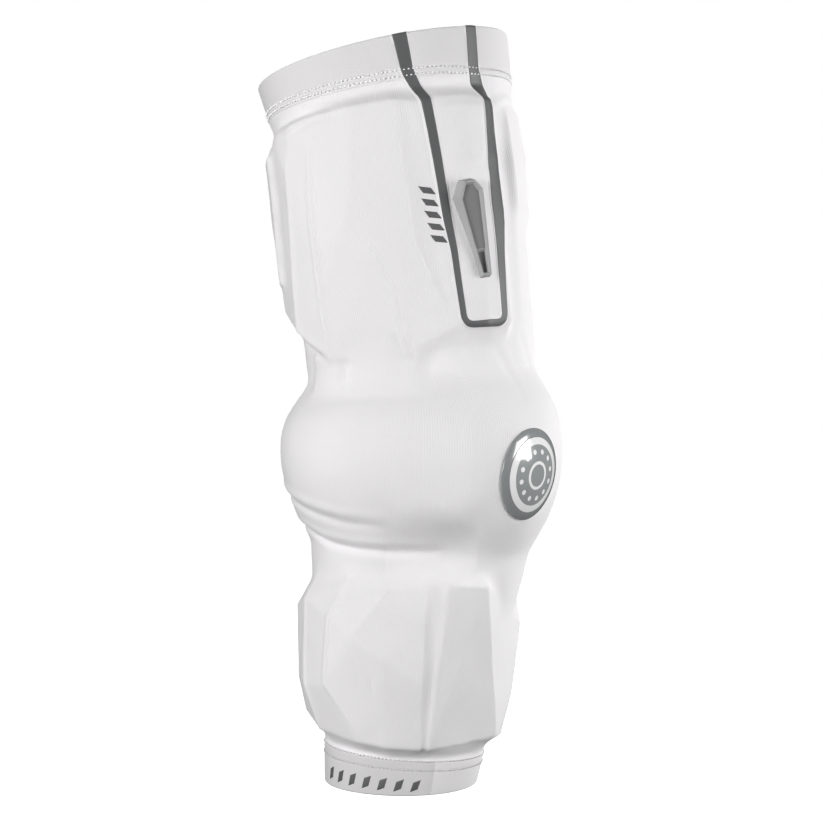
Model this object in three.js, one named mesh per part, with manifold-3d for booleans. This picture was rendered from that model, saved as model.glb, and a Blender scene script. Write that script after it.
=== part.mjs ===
// A lacrosse arm pad: a knitted compression sleeve with foam pads under the knit.
// Millimetres, +Z up. The origin is the middle of the upper opening, where the sleeve sits on the arm.
// The viewer of the outer side looks along +Y, with +X to the right.
import * as THREE from "three";
import { ConvexGeometry } from "three/addons/geometries/ConvexGeometry.js";
import { ConvexHull } from "three/addons/math/ConvexHull.js";
import { mergeVertices } from "three/addons/utils/BufferGeometryUtils.js";
import Module from "manifold-3d";

const wasm = await Module();
wasm.setup();

// Lengths along the arm, from the upper rim down
const UPPER_CUFF_LENGTH = 21;
const UPPER_ARM_LENGTH = 140;
const ELBOW_LENGTH = 92;
const FOREARM_LENGTH = 104;
const LOWER_CUFF_LENGTH = 17;

// Widths of the sleeve laid on the arm, and its depth as a share of its width
const BICEP_WIDTH = 130;
const ELBOW_WIDTH = 118;
const WRIST_WIDTH = 80;
const DEPTH_SHARE = 0.94;

// Walls and pads
const KNIT_THICKNESS = 1.8;
const CUFF_STEP = 0.6;
const ARM_PAD_HEIGHT = 9.5;
const STRIP_PAD_HEIGHT = 8;
const REAR_PAD_HEIGHT = 10;
const FRONT_PAD_HEIGHT = 4;
const ELBOW_CAP_HEIGHT = 15;
const FOREARM_PAD_HEIGHT = 9;
const SIDE_PAD_HEIGHT = 8;
const FOOT_SINK = 4;

// Printed stripe, pull tab and badge
const STRIPE_FILM = 0.5;
const STRIPE_WIDTH_TOP = 6.2;
const STRIPE_WIDTH_LOOP = 3.4;
const STRIPE_CORNER = 4;
const TAB_LENGTH = 49;
const TAB_WIDTH = 15.5;
const TAB_HEIGHT = 5.5;
const TAB_RIM = 2.2;
const TAB_RECESS = 2.6;
const TAB_SINK = 3;
const TAB_BEDDING = 1.4;
const BADGE_RADIUS = 22;
const BADGE_RING = 3.8;
const BADGE_HEIGHT = 1.8;
const BADGE_CROWN = 1.6;
const BADGE_EDGE = 0.7;
const BADGE_SINK = 3;

// Clearances
const PIECE_GAP = 0.3;
const FOAM_CLEARANCE = 0.4;
const BADGE_GAP = 0.3;

// Fineness of the faceted solids
const SLEEVE_SIDES = 32;
const STATION_STEP = 20;
const BADGE_SIDES = 24;

const DEGREE = Math.PI / 180;
const MERGE_DISTANCE = 1e-4;

const ZONE_LENGTHS = {
  upper_cuff: UPPER_CUFF_LENGTH,
  upper_arm: UPPER_ARM_LENGTH,
  elbow: ELBOW_LENGTH,
  forearm: FOREARM_LENGTH,
  lower_cuff: LOWER_CUFF_LENGTH,
};

// Distance along the arm at a share of a zone
function station(zone, along) {
  let start = 0;
  for (const [name, length] of Object.entries(ZONE_LENGTHS)) {
    if (name === zone) {
      return start + along * length;
    }
    start += length;
  }
  throw new Error(`no zone ${zone}`);
}

// The knit's outer surface with no pad under it. Each row is a section: where it lies, its width
// as a share of the width it follows, the lean of the arm's axis and the tilt of the section.
const SECTIONS = [
  { zone: "upper_cuff", along: 0, of: BICEP_WIDTH, width: 1, lean: 12, tilt: 12 },
  { zone: "upper_cuff", along: 1, of: BICEP_WIDTH, width: 0.965, lean: 10, tilt: 9.5 },
  { zone: "upper_arm", along: 0.25, of: BICEP_WIDTH, width: 0.955, lean: 6.5, tilt: 7 },
  { zone: "upper_arm", along: 0.55, of: BICEP_WIDTH, width: 0.942, lean: 6.3, tilt: 6 },
  { zone: "upper_arm", along: 0.8, of: ELBOW_WIDTH, width: 1.015, lean: 7, tilt: 6 },
  { zone: "elbow", along: 0, of: ELBOW_WIDTH, width: 0.995, lean: 3, tilt: 4 },
  { zone: "elbow", along: 0.5, of: ELBOW_WIDTH, width: 1.03, lean: 0, tilt: 0 },
  { zone: "elbow", along: 1, of: ELBOW_WIDTH, width: 0.953, lean: -5, tilt: -3.5 },
  { zone: "forearm", along: 0.3, of: WRIST_WIDTH, width: 1.3, lean: -7.5, tilt: -5 },
  { zone: "forearm", along: 0.6, of: WRIST_WIDTH, width: 1.22, lean: -3, tilt: -4.5 },
  { zone: "forearm", along: 0.9, of: WRIST_WIDTH, width: 1.07, lean: -2, tilt: -4 },
  { zone: "forearm", along: 1, of: WRIST_WIDTH, width: 1.015, lean: -5, tilt: -4 },
  { zone: "lower_cuff", along: 1, of: WRIST_WIDTH, width: 0.965, lean: -6, tilt: -0.5 },
];

const SLEEVE_END = station("lower_cuff", 1);
const SECTION_VALUES = new THREE.CubicInterpolant(
  SECTIONS.map((row) => station(row.zone, row.along)),
  SECTIONS.flatMap((row) => [(row.of * row.width) / 2, row.lean * DEGREE, row.tilt * DEGREE]),
  3,
);

function sectionAt(s) {
  const inside = THREE.MathUtils.clamp(s, 0, SLEEVE_END);
  const [halfWidth, lean, tilt] = SECTION_VALUES.evaluate(inside);
  return { halfWidth, lean, tilt };
}

// The arm's axis, walked from the rim in short steps
const AXIS_STEP = 1;
const AXIS = [new THREE.Vector3(0, 0, 0)];
for (let s = 0; s < SLEEVE_END; s += AXIS_STEP) {
  const { lean } = sectionAt(s + AXIS_STEP / 2);
  const last = AXIS[AXIS.length - 1];
  AXIS.push(new THREE.Vector3(last.x + AXIS_STEP * Math.sin(lean), 0, last.z - AXIS_STEP * Math.cos(lean)));
}

function axisAt(s) {
  const first = THREE.MathUtils.clamp(Math.floor(s / AXIS_STEP), 0, AXIS.length - 2);
  const share = s / AXIS_STEP - first;
  return AXIS[first].clone().lerp(AXIS[first + 1], share);
}

// A point at a turn round the arm (0 faces the viewer, 90 is +X), a distance along it, and a
// height above the knit's outer surface
function surfacePoint(turn, s, lift) {
  const { halfWidth, tilt } = sectionAt(s);
  const angle = turn * DEGREE;
  const side = (halfWidth + lift) * Math.sin(angle);
  const front = (halfWidth * DEPTH_SHARE + lift) * Math.cos(angle);
  return axisAt(s).add(new THREE.Vector3(side * Math.cos(tilt), -front, side * Math.sin(tilt)));
}

function stationsBetween(start, end) {
  const count = Math.max(1, Math.round((end - start) / STATION_STEP));
  return Array.from({ length: count + 1 }, (_, i) => start + ((end - start) * i) / count);
}

function indexedGeometry(points, triangles) {
  const geometry = new THREE.BufferGeometry();
  geometry.setAttribute("position", new THREE.Float32BufferAttribute(points.flatMap((p) => p.toArray()), 3));
  geometry.setIndex(triangles);
  return geometry;
}

function toSolid(geometry) {
  geometry.deleteAttribute("normal");
  geometry.deleteAttribute("uv");
  const merged = mergeVertices(geometry, MERGE_DISTANCE);
  return new wasm.Manifold(new wasm.Mesh({
    numProp: 3,
    vertProperties: new Float32Array(merged.attributes.position.array),
    triVerts: new Uint32Array(merged.index.array),
  }));
}

// A closed tube round the arm's axis, at one height above the knit
function tubeSolid(start, end, lift) {
  const stations = stationsBetween(start, end);
  const points = stations.flatMap((s) =>
    Array.from({ length: SLEEVE_SIDES }, (_, i) => surfacePoint((360 * i) / SLEEVE_SIDES, s, lift)));
  const triangles = [];
  for (let ring = 0; ring + 1 < stations.length; ring++) {
    for (let i = 0; i < SLEEVE_SIDES; i++) {
      const next = (i + 1) % SLEEVE_SIDES;
      const [a, b] = [ring * SLEEVE_SIDES + i, ring * SLEEVE_SIDES + next];
      const [c, d] = [a + SLEEVE_SIDES, b + SLEEVE_SIDES];
      triangles.push(a, c, b, b, c, d);
    }
  }
  const top = points.length;
  points.push(axisAt(start), axisAt(end));
  const lastRing = (stations.length - 1) * SLEEVE_SIDES;
  for (let i = 0; i < SLEEVE_SIDES; i++) {
    const next = (i + 1) % SLEEVE_SIDES;
    triangles.push(top, i, next, top + 1, lastRing + next, lastRing + i);
  }
  return toSolid(indexedGeometry(points, triangles));
}

// A closed block over a grid of turns and stations, between two heights. Each grid place is
// given by a function, so that the block may taper or follow a path.
function blockSolid(rows, columns, placeLow, placeHigh) {
  const points = [];
  for (const place of [placeLow, placeHigh]) {
    for (let r = 0; r < rows; r++) {
      for (let c = 0; c < columns; c++) {
        points.push(place(r, c));
      }
    }
  }
  const high = rows * columns;
  const at = (r, c) => r * columns + c;
  const triangles = [];
  for (let r = 0; r + 1 < rows; r++) {
    for (let c = 0; c + 1 < columns; c++) {
      const [p, q, t, u] = [at(r, c), at(r, c + 1), at(r + 1, c), at(r + 1, c + 1)];
      triangles.push(high + p, high + t, high + q, high + q, high + t, high + u);
      triangles.push(p, q, t, q, u, t);
    }
  }
  const edge = (p, q) => triangles.push(p, high + p, q, q, high + p, high + q);
  for (let c = 0; c + 1 < columns; c++) {
    edge(at(0, c), at(0, c + 1));
    edge(at(rows - 1, c + 1), at(rows - 1, c));
  }
  for (let r = 0; r + 1 < rows; r++) {
    edge(at(r + 1, 0), at(r, 0));
    edge(at(r, columns - 1), at(r + 1, columns - 1));
  }
  return toSolid(indexedGeometry(points, triangles));
}

// Foam pads under the knit. Each row is a corner of the pad as seen from outside: its turn round
// the arm, its place along the zone and its height as a share of the pad's. A height of 0 is the
// foot, where the pad's bevelled side runs into the sleeve.
const PADS = {
  upper_arm_pad: {
    zone: "upper_arm",
    height: ARM_PAD_HEIGHT,
    corners: [
      { turn: -90, along: 0.12, height: 0.42 },
      { turn: -86, along: 0.2, height: 0.66 },
      { turn: -64, along: 0.1, height: 0.62 },
      { turn: -48, along: 0.085, height: 0.78 },
      { turn: -33, along: 0.08, height: 0.86 },
      { turn: -16, along: 0.075, height: 0.92 },
      { turn: 0, along: 0.075, height: 0.86 },
      { turn: 13, along: 0.09, height: 0.5 },
      { turn: -54, along: 0.25, height: 0.93 },
      { turn: -38, along: 0.2, height: 1 },
      { turn: -20, along: 0.3, height: 1.06 },
      { turn: 0, along: 0.3, height: 0.97 },
      { turn: 15, along: 0.3, height: 0.52 },
      { turn: -41, along: 0.48, height: 1 },
      { turn: -24, along: 0.47, height: 1.1 },
      { turn: 2, along: 0.56, height: 0.95 },
      { turn: 18, along: 0.56, height: 0.5 },
      { turn: 5.5, along: 0.66, height: 0.88 },
      { turn: -14, along: 0.61, height: 1.02 },
      { turn: -8, along: 0.76, height: 0.96 },
      { turn: -86, along: 0.73, height: 0.72 },
      { turn: -62, along: 0.82, height: 0.93 },
      { turn: -42, along: 0.7, height: 1.02 },
      { turn: -43, along: 0.94, height: 0.75 },
      { turn: -7, along: 0.95, height: 0.66 },
      { turn: 15, along: 0.87, height: 0.6 },
      { turn: -92, along: 0.1, height: 0 },
      { turn: -64, along: 0.03, height: 0 },
      { turn: -33, along: 0.02, height: 0 },
      { turn: 3, along: 0.02, height: 0 },
      { turn: 24, along: 0.06, height: 0 },
      { turn: 29, along: 0.6, height: 0 },
      { turn: 29, along: 0.92, height: 0 },
      { turn: 12, along: 0.985, height: 0 },
      { turn: -7, along: 0.99, height: 0 },
      { turn: -43, along: 0.985, height: 0 },
      { turn: -62, along: 0.95, height: 0 },
      { turn: -80, along: 0.87, height: 0 },
      { turn: -98, along: 0.75, height: 0 },
    ],
  },
  strip_pad: {
    zone: "upper_arm",
    height: STRIP_PAD_HEIGHT,
    corners: [
      { turn: 12, along: 0.085, height: 0.82 },
      { turn: 29, along: 0.08, height: 0.95 },
      { turn: 46, along: 0.1, height: 0.72 },
      { turn: 14.5, along: 0.5, height: 0.95 },
      { turn: 30, along: 0.5, height: 1.1 },
      { turn: 45, along: 0.5, height: 0.8 },
      { turn: 18, along: 0.86, height: 0.82 },
      { turn: 31, along: 0.87, height: 0.92 },
      { turn: 46, along: 0.86, height: 0.72 },
      { turn: 8, along: 0.02, height: 0 },
      { turn: 44, along: 0.03, height: 0 },
      { turn: 10, along: 0.5, height: 0 },
      { turn: 50, along: 0.12, height: 0 },
      { turn: 49, along: 0.5, height: 0 },
      { turn: 17, along: 0.97, height: 0 },
      { turn: 44, along: 0.975, height: 0 },
      { turn: 50, along: 0.88, height: 0 },
    ],
  },
  upper_rear_pad: {
    zone: "upper_arm",
    height: REAR_PAD_HEIGHT,
    corners: [
      { turn: -72, along: 0.165, height: 0.78 },
      { turn: -76, along: 0.63, height: 0.84 },
      { turn: -98, along: 0.15, height: 0.8 },
      { turn: -100, along: 0.63, height: 0.9 },
      { turn: -124, along: 0.17, height: 0.7 },
      { turn: -124, along: 0.61, height: 0.8 },
      { turn: -69, along: 0.14, height: 0 },
      { turn: -73, along: 0.655, height: 0 },
      { turn: -98, along: 0.115, height: 0 },
      { turn: -100, along: 0.665, height: 0 },
      { turn: -131, along: 0.14, height: 0 },
      { turn: -131, along: 0.64, height: 0 },
    ],
  },
  upper_front_pad: {
    zone: "upper_arm",
    height: FRONT_PAD_HEIGHT,
    corners: [
      { turn: 64, along: 0.14, height: 0.4 },
      { turn: 88, along: 0.12, height: 0.5 },
      { turn: 112, along: 0.14, height: 0.4 },
      { turn: 62, along: 0.3, height: 0.75 },
      { turn: 88, along: 0.27, height: 1 },
      { turn: 116, along: 0.3, height: 0.75 },
      { turn: 64, along: 0.45, height: 0.55 },
      { turn: 88, along: 0.47, height: 0.7 },
      { turn: 112, along: 0.45, height: 0.55 },
      { turn: 58, along: 0.08, height: 0 },
      { turn: 88, along: 0.05, height: 0 },
      { turn: 118, along: 0.08, height: 0 },
      { turn: 53, along: 0.3, height: 0 },
      { turn: 126, along: 0.3, height: 0 },
      { turn: 58, along: 0.55, height: 0 },
      { turn: 88, along: 0.6, height: 0 },
      { turn: 118, along: 0.55, height: 0 },
    ],
  },
  forearm_pad: {
    zone: "forearm",
    height: FOREARM_PAD_HEIGHT,
    corners: [
      { turn: -90, along: 0.33, height: 0.9 },
      { turn: -68, along: 0.28, height: 0.78 },
      { turn: -44.5, along: 0.33, height: 0.92 },
      { turn: -37, along: 0.16, height: 0.5 },
      { turn: -13, along: 0.16, height: 0.5 },
      { turn: -18, along: 0.25, height: 0.82 },
      { turn: -30, along: 0.42, height: 1.04 },
      { turn: 5, along: 0.3, height: 0.82 },
      { turn: 5, along: 0.14, height: 0.42 },
      { turn: -12, along: 0.5, height: 1.05 },
      { turn: -90, along: 0.68, height: 0.98 },
      { turn: -67, along: 0.69, height: 1 },
      { turn: -46, along: 0.66, height: 1.02 },
      { turn: -90, along: 0.85, height: 0.85 },
      { turn: -63, along: 0.9, height: 0.7 },
      { turn: -28, along: 0.915, height: 0.78 },
      { turn: -10, along: 0.92, height: 0.9 },
      { turn: 9, along: 0.92, height: 0.8 },
      { turn: 7, along: 0.6, height: 0.95 },
      { turn: 14.5, along: 0.3, height: 0.3 },
      { turn: 15, along: 0.6, height: 0.3 },
      { turn: 15, along: 0.91, height: 0.3 },
      { turn: -98, along: 0.14, height: 0 },
      { turn: -68, along: 0.06, height: 0 },
      { turn: -37, along: 0.04, height: 0 },
      { turn: -12, along: 0.04, height: 0 },
      { turn: 6, along: 0.05, height: 0 },
      { turn: 21, along: 0.3, height: 0 },
      { turn: 21, along: 0.92, height: 0 },
      { turn: -101, along: 0.68, height: 0 },
      { turn: -99, along: 0.9, height: 0 },
      { turn: -64, along: 0.955, height: 0 },
      { turn: -28, along: 0.96, height: 0 },
      { turn: 8, along: 0.96, height: 0 },
    ],
  },
  forearm_side_pad: {
    zone: "forearm",
    height: SIDE_PAD_HEIGHT,
    corners: [
      { turn: 15, along: 0.13, height: 0.72 },
      { turn: 36, along: 0.12, height: 0.66 },
      { turn: 14, along: 0.92, height: 0.8 },
      { turn: 65, along: 0.88, height: 0.98 },
      { turn: 90, along: 0.33, height: 0.62 },
      { turn: 92, along: 0.68, height: 1 },
      { turn: 90, along: 0.9, height: 0.92 },
      { turn: 112, along: 0.6, height: 0.7 },
      { turn: 12, along: 0.08, height: 0 },
      { turn: 36, along: 0.07, height: 0 },
      { turn: 9, along: 0.55, height: 0 },
      { turn: 9, along: 0.95, height: 0 },
      { turn: 70, along: 0.955, height: 0 },
      { turn: 96, along: 0.94, height: 0 },
      { turn: 122, along: 0.84, height: 0 },
      { turn: 120, along: 0.4, height: 0 },
      { turn: 98, along: 0.08, height: 0 },
    ],
  },
};

// The planes of a hull, each as its normal shortened by its distance from a point inside
function planePoles(points, middle, grow) {
  const { faces } = new ConvexHull().setFromPoints(points);
  return faces.map(({ normal, constant }) =>
    normal.clone().divideScalar(constant - normal.dot(middle) + grow));
}

// The hull of a pad's corners with every face moved out by a distance, or in by a negative one.
// The moved planes' meeting points are the planes of the hull of their poles.
function padSolid(pad, grow) {
  const start = station(pad.zone, 0);
  const length = ZONE_LENGTHS[pad.zone];
  const corners = pad.corners.map(({ turn, along, height }) =>
    surfacePoint(turn, start + along * length, height > 0 ? height * pad.height : -FOOT_SINK));
  const middle = new THREE.Vector3();
  corners.forEach((corner) => middle.addScaledVector(corner, 1 / corners.length));
  const poles = planePoles(corners, middle, grow);
  const moved = planePoles(poles, new THREE.Vector3(), 0).map((pole) => pole.add(middle));
  return toSolid(new ConvexGeometry(moved));
}

// The elbow cap is a round dome that wraps the outer half of the arm. Its height follows one
// profile along the arm and another round it.
const CAP_TURN = 124;
const CAP_COLUMNS = 17;
const CAP_PROFILE = [
  { along: 0.03, height: 0 },
  { along: 0.1, height: 0.3 },
  { along: 0.17, height: 0.66 },
  { along: 0.26, height: 0.9 },
  { along: 0.38, height: 1 },
  { along: 0.52, height: 1 },
  { along: 0.64, height: 0.9 },
  { along: 0.76, height: 0.7 },
  { along: 0.85, height: 0.48 },
  { along: 0.92, height: 0.22 },
  { along: 0.97, height: 0 },
];
const CAP_ROUND = [
  { turn: -1, height: 0 },
  { turn: -0.87, height: 0.5 },
  { turn: -0.74, height: 0.92 },
  { turn: -0.5, height: 1 },
  { turn: 0.1, height: 1 },
  { turn: 0.5, height: 0.88 },
  { turn: 0.74, height: 0.76 },
  { turn: 0.87, height: 0.42 },
  { turn: 1, height: 0 },
];

function heightAlong(rows, key, place) {
  const next = THREE.MathUtils.clamp(rows.findIndex((row) => row[key] >= place), 1, rows.length - 1);
  const [low, high] = [rows[next - 1], rows[next]];
  return THREE.MathUtils.mapLinear(place, low[key], high[key], low.height, high.height);
}

function capLift(turn, along) {
  const round = heightAlong(CAP_ROUND, "turn", turn / CAP_TURN);
  return heightAlong(CAP_PROFILE, "along", along) * round * ELBOW_CAP_HEIGHT;
}

function capSolid(grow) {
  const start = station("elbow", 0);
  const edge = grow / ELBOW_LENGTH;
  const middle = 0.5;
  const place = (row, column, sunk) => {
    const turn = CAP_TURN * (-1 + (2 * column) / (CAP_COLUMNS - 1));
    const { along } = CAP_PROFILE[row];
    const moved = along + edge * (along < middle ? -1 : 1);
    const lift = sunk ? -FOOT_SINK : capLift(turn, along) + grow;
    return surfacePoint(turn, start + moved * ELBOW_LENGTH, lift);
  };
  return blockSolid(CAP_PROFILE.length, CAP_COLUMNS,
    (row, column) => place(row, column, true),
    (row, column) => place(row, column, false));
}

// Everything that the sleeve covers, with its skin grown by a distance
function coveredSolid(grow) {
  const start = UPPER_CUFF_LENGTH + PIECE_GAP;
  const end = station("forearm", 1) - PIECE_GAP;
  let body = tubeSolid(start, end, grow);
  for (const pad of Object.values(PADS)) {
    body = body.add(padSolid(pad, grow));
  }
  return body.add(capSolid(grow));
}

function cuffSolid(start, end, grow) {
  return tubeSolid(start - grow, end + grow, CUFF_STEP + grow);
}

// The arm's hollow runs past both openings
const HOLLOW_OVERRUN = 12;
const armHollow = tubeSolid(-HOLLOW_OVERRUN, SLEEVE_END + HOLLOW_OVERRUN, -KNIT_THICKNESS);

const MATERIALS = {
  knit: { color: 0xf1eff3, roughness: 0.9, metalness: 0 },
  elastic: { color: 0xeeecf0, roughness: 0.85, metalness: 0 },
  foam: { color: 0xe4e2e6, roughness: 0.95, metalness: 0 },
  print: { color: 0x6f7274, roughness: 0.45, metalness: 0 },
  rubber: { color: 0x9a9b9d, roughness: 0.55, metalness: 0 },
  badge_ring: { color: 0x7d817f, roughness: 0.3, metalness: 0.2 },
  badge_dome: { color: 0xdfe1e2, roughness: 0.12, metalness: 0 },
};

function namedMesh(name, solid, finish) {
  const { vertProperties, triVerts } = solid.getMesh();
  const geometry = new THREE.BufferGeometry();
  geometry.setAttribute("position", new THREE.BufferAttribute(new Float32Array(vertProperties), 3));
  geometry.setIndex(Array.from(triVerts));
  geometry.computeVertexNormals();
  const mesh = new THREE.Mesh(geometry, new THREE.MeshStandardMaterial(MATERIALS[finish]));
  mesh.name = name;
  return mesh;
}

function makeSleeve() {
  let sleeve = coveredSolid(0).subtract(armHollow);
  for (const pad of Object.values(PADS)) {
    sleeve = sleeve.subtract(padSolid(pad, -KNIT_THICKNESS));
  }
  return sleeve.subtract(capSolid(-KNIT_THICKNESS));
}

// Each foam pad fills its pocket, apart from what the pads before it fill
function makeFoams() {
  const foams = [];
  const taken = [];
  for (const [name, pad] of Object.entries(PADS)) {
    let foam = padSolid(pad, -KNIT_THICKNESS - FOAM_CLEARANCE).subtract(armHollow);
    for (const other of taken) {
      foam = foam.subtract(other);
    }
    taken.push(padSolid(pad, -KNIT_THICKNESS));
    foams.push(namedMesh(name, foam, "foam"));
  }
  const cap = capSolid(-KNIT_THICKNESS - FOAM_CLEARANCE).subtract(armHollow);
  foams.push(namedMesh("elbow_cap", cap, "foam"));
  return foams;
}

// The stripe runs down from the rim, round a narrow loop and back up. Each row is a point of its
// middle line, with its width as a share of the way from the top width to the loop's.
const STRIPE_PATH = [
  { turn: 8, zone: "upper_cuff", along: 0.04, narrow: 0 },
  { turn: 8.6, zone: "upper_cuff", along: 0.85, narrow: 0 },
  { turn: 13.5, zone: "upper_arm", along: 0.08, narrow: 0.35 },
  { turn: 16.7, zone: "upper_arm", along: 0.5, narrow: 0.7 },
  { turn: 18.2, zone: "upper_arm", along: 0.6, narrow: 0.9 },
  { turn: 19.8, zone: "upper_arm", along: 0.865, narrow: 1, round: true },
  { turn: 41, zone: "upper_arm", along: 0.865, narrow: 1, round: true },
  { turn: 42, zone: "upper_arm", along: 0.6, narrow: 0.8 },
  { turn: 42.4, zone: "upper_arm", along: 0.44, narrow: 0.6 },
  { turn: 43.8, zone: "upper_arm", along: 0.28, narrow: 0.5 },
  { turn: 46, zone: "upper_arm", along: 0.1, narrow: 0.4 },
  { turn: 41.7, zone: "upper_cuff", along: 0.95, narrow: 0.4 },
  { turn: 43, zone: "upper_cuff", along: 0.04, narrow: 0.4 },
];
const STRIPE_ARC_STEPS = 3;
const STRIPE_STEP = 12;

function stripeLine() {
  const perTurn = (BICEP_WIDTH / 2) * DEGREE;
  const flat = STRIPE_PATH.map((row) => new THREE.Vector3(
    row.turn * perTurn,
    station(row.zone, row.along),
    THREE.MathUtils.lerp(STRIPE_WIDTH_TOP, STRIPE_WIDTH_LOOP, row.narrow) / 2,
  ));
  const line = [flat[0]];
  for (let i = 1; i < flat.length; i++) {
    const from = line[line.length - 1];
    const corner = flat[i];
    const rounded = STRIPE_PATH[i].round === true;
    const cut = rounded ? STRIPE_CORNER : 0;
    const before = corner.clone().lerp(from, cut / from.distanceTo(corner));
    const steps = Math.ceil(from.distanceTo(before) / STRIPE_STEP);
    for (let k = 1; k <= steps; k++) {
      line.push(from.clone().lerp(before, k / steps));
    }
    if (rounded) {
      const after = corner.clone().lerp(flat[i + 1], cut / flat[i + 1].distanceTo(corner));
      const arc = new THREE.QuadraticBezierCurve3(before, corner, after);
      line.push(...arc.getPoints(STRIPE_ARC_STEPS).slice(1));
    }
  }
  return { line, perTurn };
}

// The ribbon that cuts the stripe out of the shell reaches from under the knit to above the pads
const STRIPE_LOW = -1;
const STRIPE_HIGH = 24;

function makeStripe() {
  const { line, perTurn } = stripeLine();
  const edges = line.map((point, i) => {
    const from = line[Math.max(0, i - 1)];
    const to = line[Math.min(line.length - 1, i + 1)];
    const along = new THREE.Vector2(to.x - from.x, to.y - from.y).normalize();
    const side = new THREE.Vector2(along.y, -along.x).multiplyScalar(point.z);
    return [-1, 1].map((hand) => ({
      turn: (point.x + hand * side.x) / perTurn,
      s: point.y + hand * side.y,
    }));
  });
  const place = (row, column, lift) => surfacePoint(edges[row][column].turn, edges[row][column].s, lift);
  const ribbon = blockSolid(edges.length, 2,
    (row, column) => place(row, column, STRIPE_LOW),
    (row, column) => place(row, column, STRIPE_HIGH));
  const cuffEnd = UPPER_CUFF_LENGTH + PIECE_GAP;
  const [film, inner] = [PIECE_GAP + STRIPE_FILM, PIECE_GAP].map((grow) =>
    coveredSolid(grow).add(cuffSolid(0, cuffEnd, grow)));
  return ribbon.intersect(film).subtract(inner);
}

// A frame on the sleeve: x to the right round the arm, y up along it, z straight out, and rolled
// about z
function frameOnSleeve(turn, s, lift, roll) {
  const out = new THREE.Vector3(Math.sin(turn * DEGREE), -Math.cos(turn * DEGREE), 0);
  const { lean } = sectionAt(s);
  const up = new THREE.Vector3(-Math.sin(lean), 0, Math.cos(lean));
  up.addScaledVector(out, -up.dot(out)).normalize();
  up.applyAxisAngle(out, roll * DEGREE);
  const right = new THREE.Vector3().crossVectors(up, out);
  const frame = new THREE.Matrix4().makeBasis(right, up, out);
  return frame.setPosition(surfacePoint(turn, s, lift));
}

// The tab's outline from above, as shares of its width and length: a cut-off top, shoulders
// and a narrow foot
const TAB_OUTLINE = [
  { across: -0.2, along: 0.5 },
  { across: 0.24, along: 0.5 },
  { across: 0.5, along: 0.4 },
  { across: 0.5, along: 0.33 },
  { across: 0.3, along: -0.5 },
  { across: -0.08, along: -0.5 },
  { across: -0.5, along: 0.33 },
];
const TAB_TURN = 27;
const TAB_ALONG = 0.54;
const TAB_ROLL = 6;
const TAB_BEVEL = 0.8;

function tabPrism(inset, bottom, top, bevel) {
  const widthScale = TAB_WIDTH - 2 * inset;
  const lengthScale = TAB_LENGTH - 2 * inset;
  const outline = new THREE.Shape(TAB_OUTLINE.map((row) =>
    new THREE.Vector2(row.across * widthScale, row.along * lengthScale)));
  const geometry = new THREE.ExtrudeGeometry(outline, {
    depth: top - bottom - bevel,
    bevelEnabled: bevel > 0,
    bevelThickness: bevel,
    bevelSize: bevel,
    bevelOffset: -bevel,
    bevelSegments: 1,
  });
  return geometry.translate(0, 0, bottom);
}

// The tab's frame, moved out until the highest place under the tab is level with its bedding
function tabFrame() {
  const frame = frameOnSleeve(TAB_TURN, station("upper_arm", TAB_ALONG), 0, TAB_ROLL);
  const column = toSolid(tabPrism(0, 0, TAB_LENGTH, 0).applyMatrix4(frame));
  const { vertProperties } = coveredSolid(PIECE_GAP).intersect(column).getMesh();
  const toFrame = frame.clone().invert();
  let highest = 0;
  for (let i = 0; i < vertProperties.length; i += 3) {
    const point = new THREE.Vector3().fromArray(vertProperties, i).applyMatrix4(toFrame);
    highest = Math.max(highest, point.z);
  }
  return frame.multiply(new THREE.Matrix4().makeTranslation(0, 0, highest - TAB_BEDDING));
}

function makeTab() {
  const place = tabFrame();
  const body = toSolid(tabPrism(0, -TAB_SINK, TAB_HEIGHT, TAB_BEVEL).applyMatrix4(place));
  const trayFloor = TAB_HEIGHT - TAB_RECESS;
  const tray = toSolid(tabPrism(TAB_RIM, trayFloor, TAB_HEIGHT + TAB_RIM, 0).applyMatrix4(place));
  return body.subtract(tray).subtract(coveredSolid(PIECE_GAP));
}

const BADGE_TURN = 46;
const BADGE_ALONG = 0.56;
const DOME_RINGS = [1, 0.66, 0.33];

// A place on the cap at a distance and a direction from the badge's middle
function badgePoint(radius, direction, height) {
  const start = station("elbow", 0);
  const { halfWidth } = sectionAt(station("elbow", BADGE_ALONG));
  const perTurn = (halfWidth + ELBOW_CAP_HEIGHT) * DEGREE;
  const turn = BADGE_TURN + (radius * Math.sin(direction)) / perTurn;
  const along = BADGE_ALONG + (radius * Math.cos(direction)) / ELBOW_LENGTH;
  return surfacePoint(turn, start + along * ELBOW_LENGTH, capLift(turn, along) + height);
}

// A solid turned about the badge's middle, from a profile of radius and height that closes on itself
function badgeSolid(profile) {
  const points = [];
  for (let i = 0; i < BADGE_SIDES; i++) {
    const direction = (2 * Math.PI * i) / BADGE_SIDES;
    points.push(...profile.map(([radius, height]) => badgePoint(radius, direction, height)));
  }
  const triangles = [];
  for (let i = 0; i < BADGE_SIDES; i++) {
    const here = i * profile.length;
    const next = ((i + 1) % BADGE_SIDES) * profile.length;
    for (let k = 0; k < profile.length; k++) {
      const after = (k + 1) % profile.length;
      const [a, b, c, d] = [here + k, here + after, next + k, next + after];
      triangles.push(a, c, b, b, c, d);
    }
  }
  return indexedGeometry(points, triangles);
}

function seatedBadge(geometry) {
  return toSolid(geometry).subtract(coveredSolid(PIECE_GAP));
}

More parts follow.
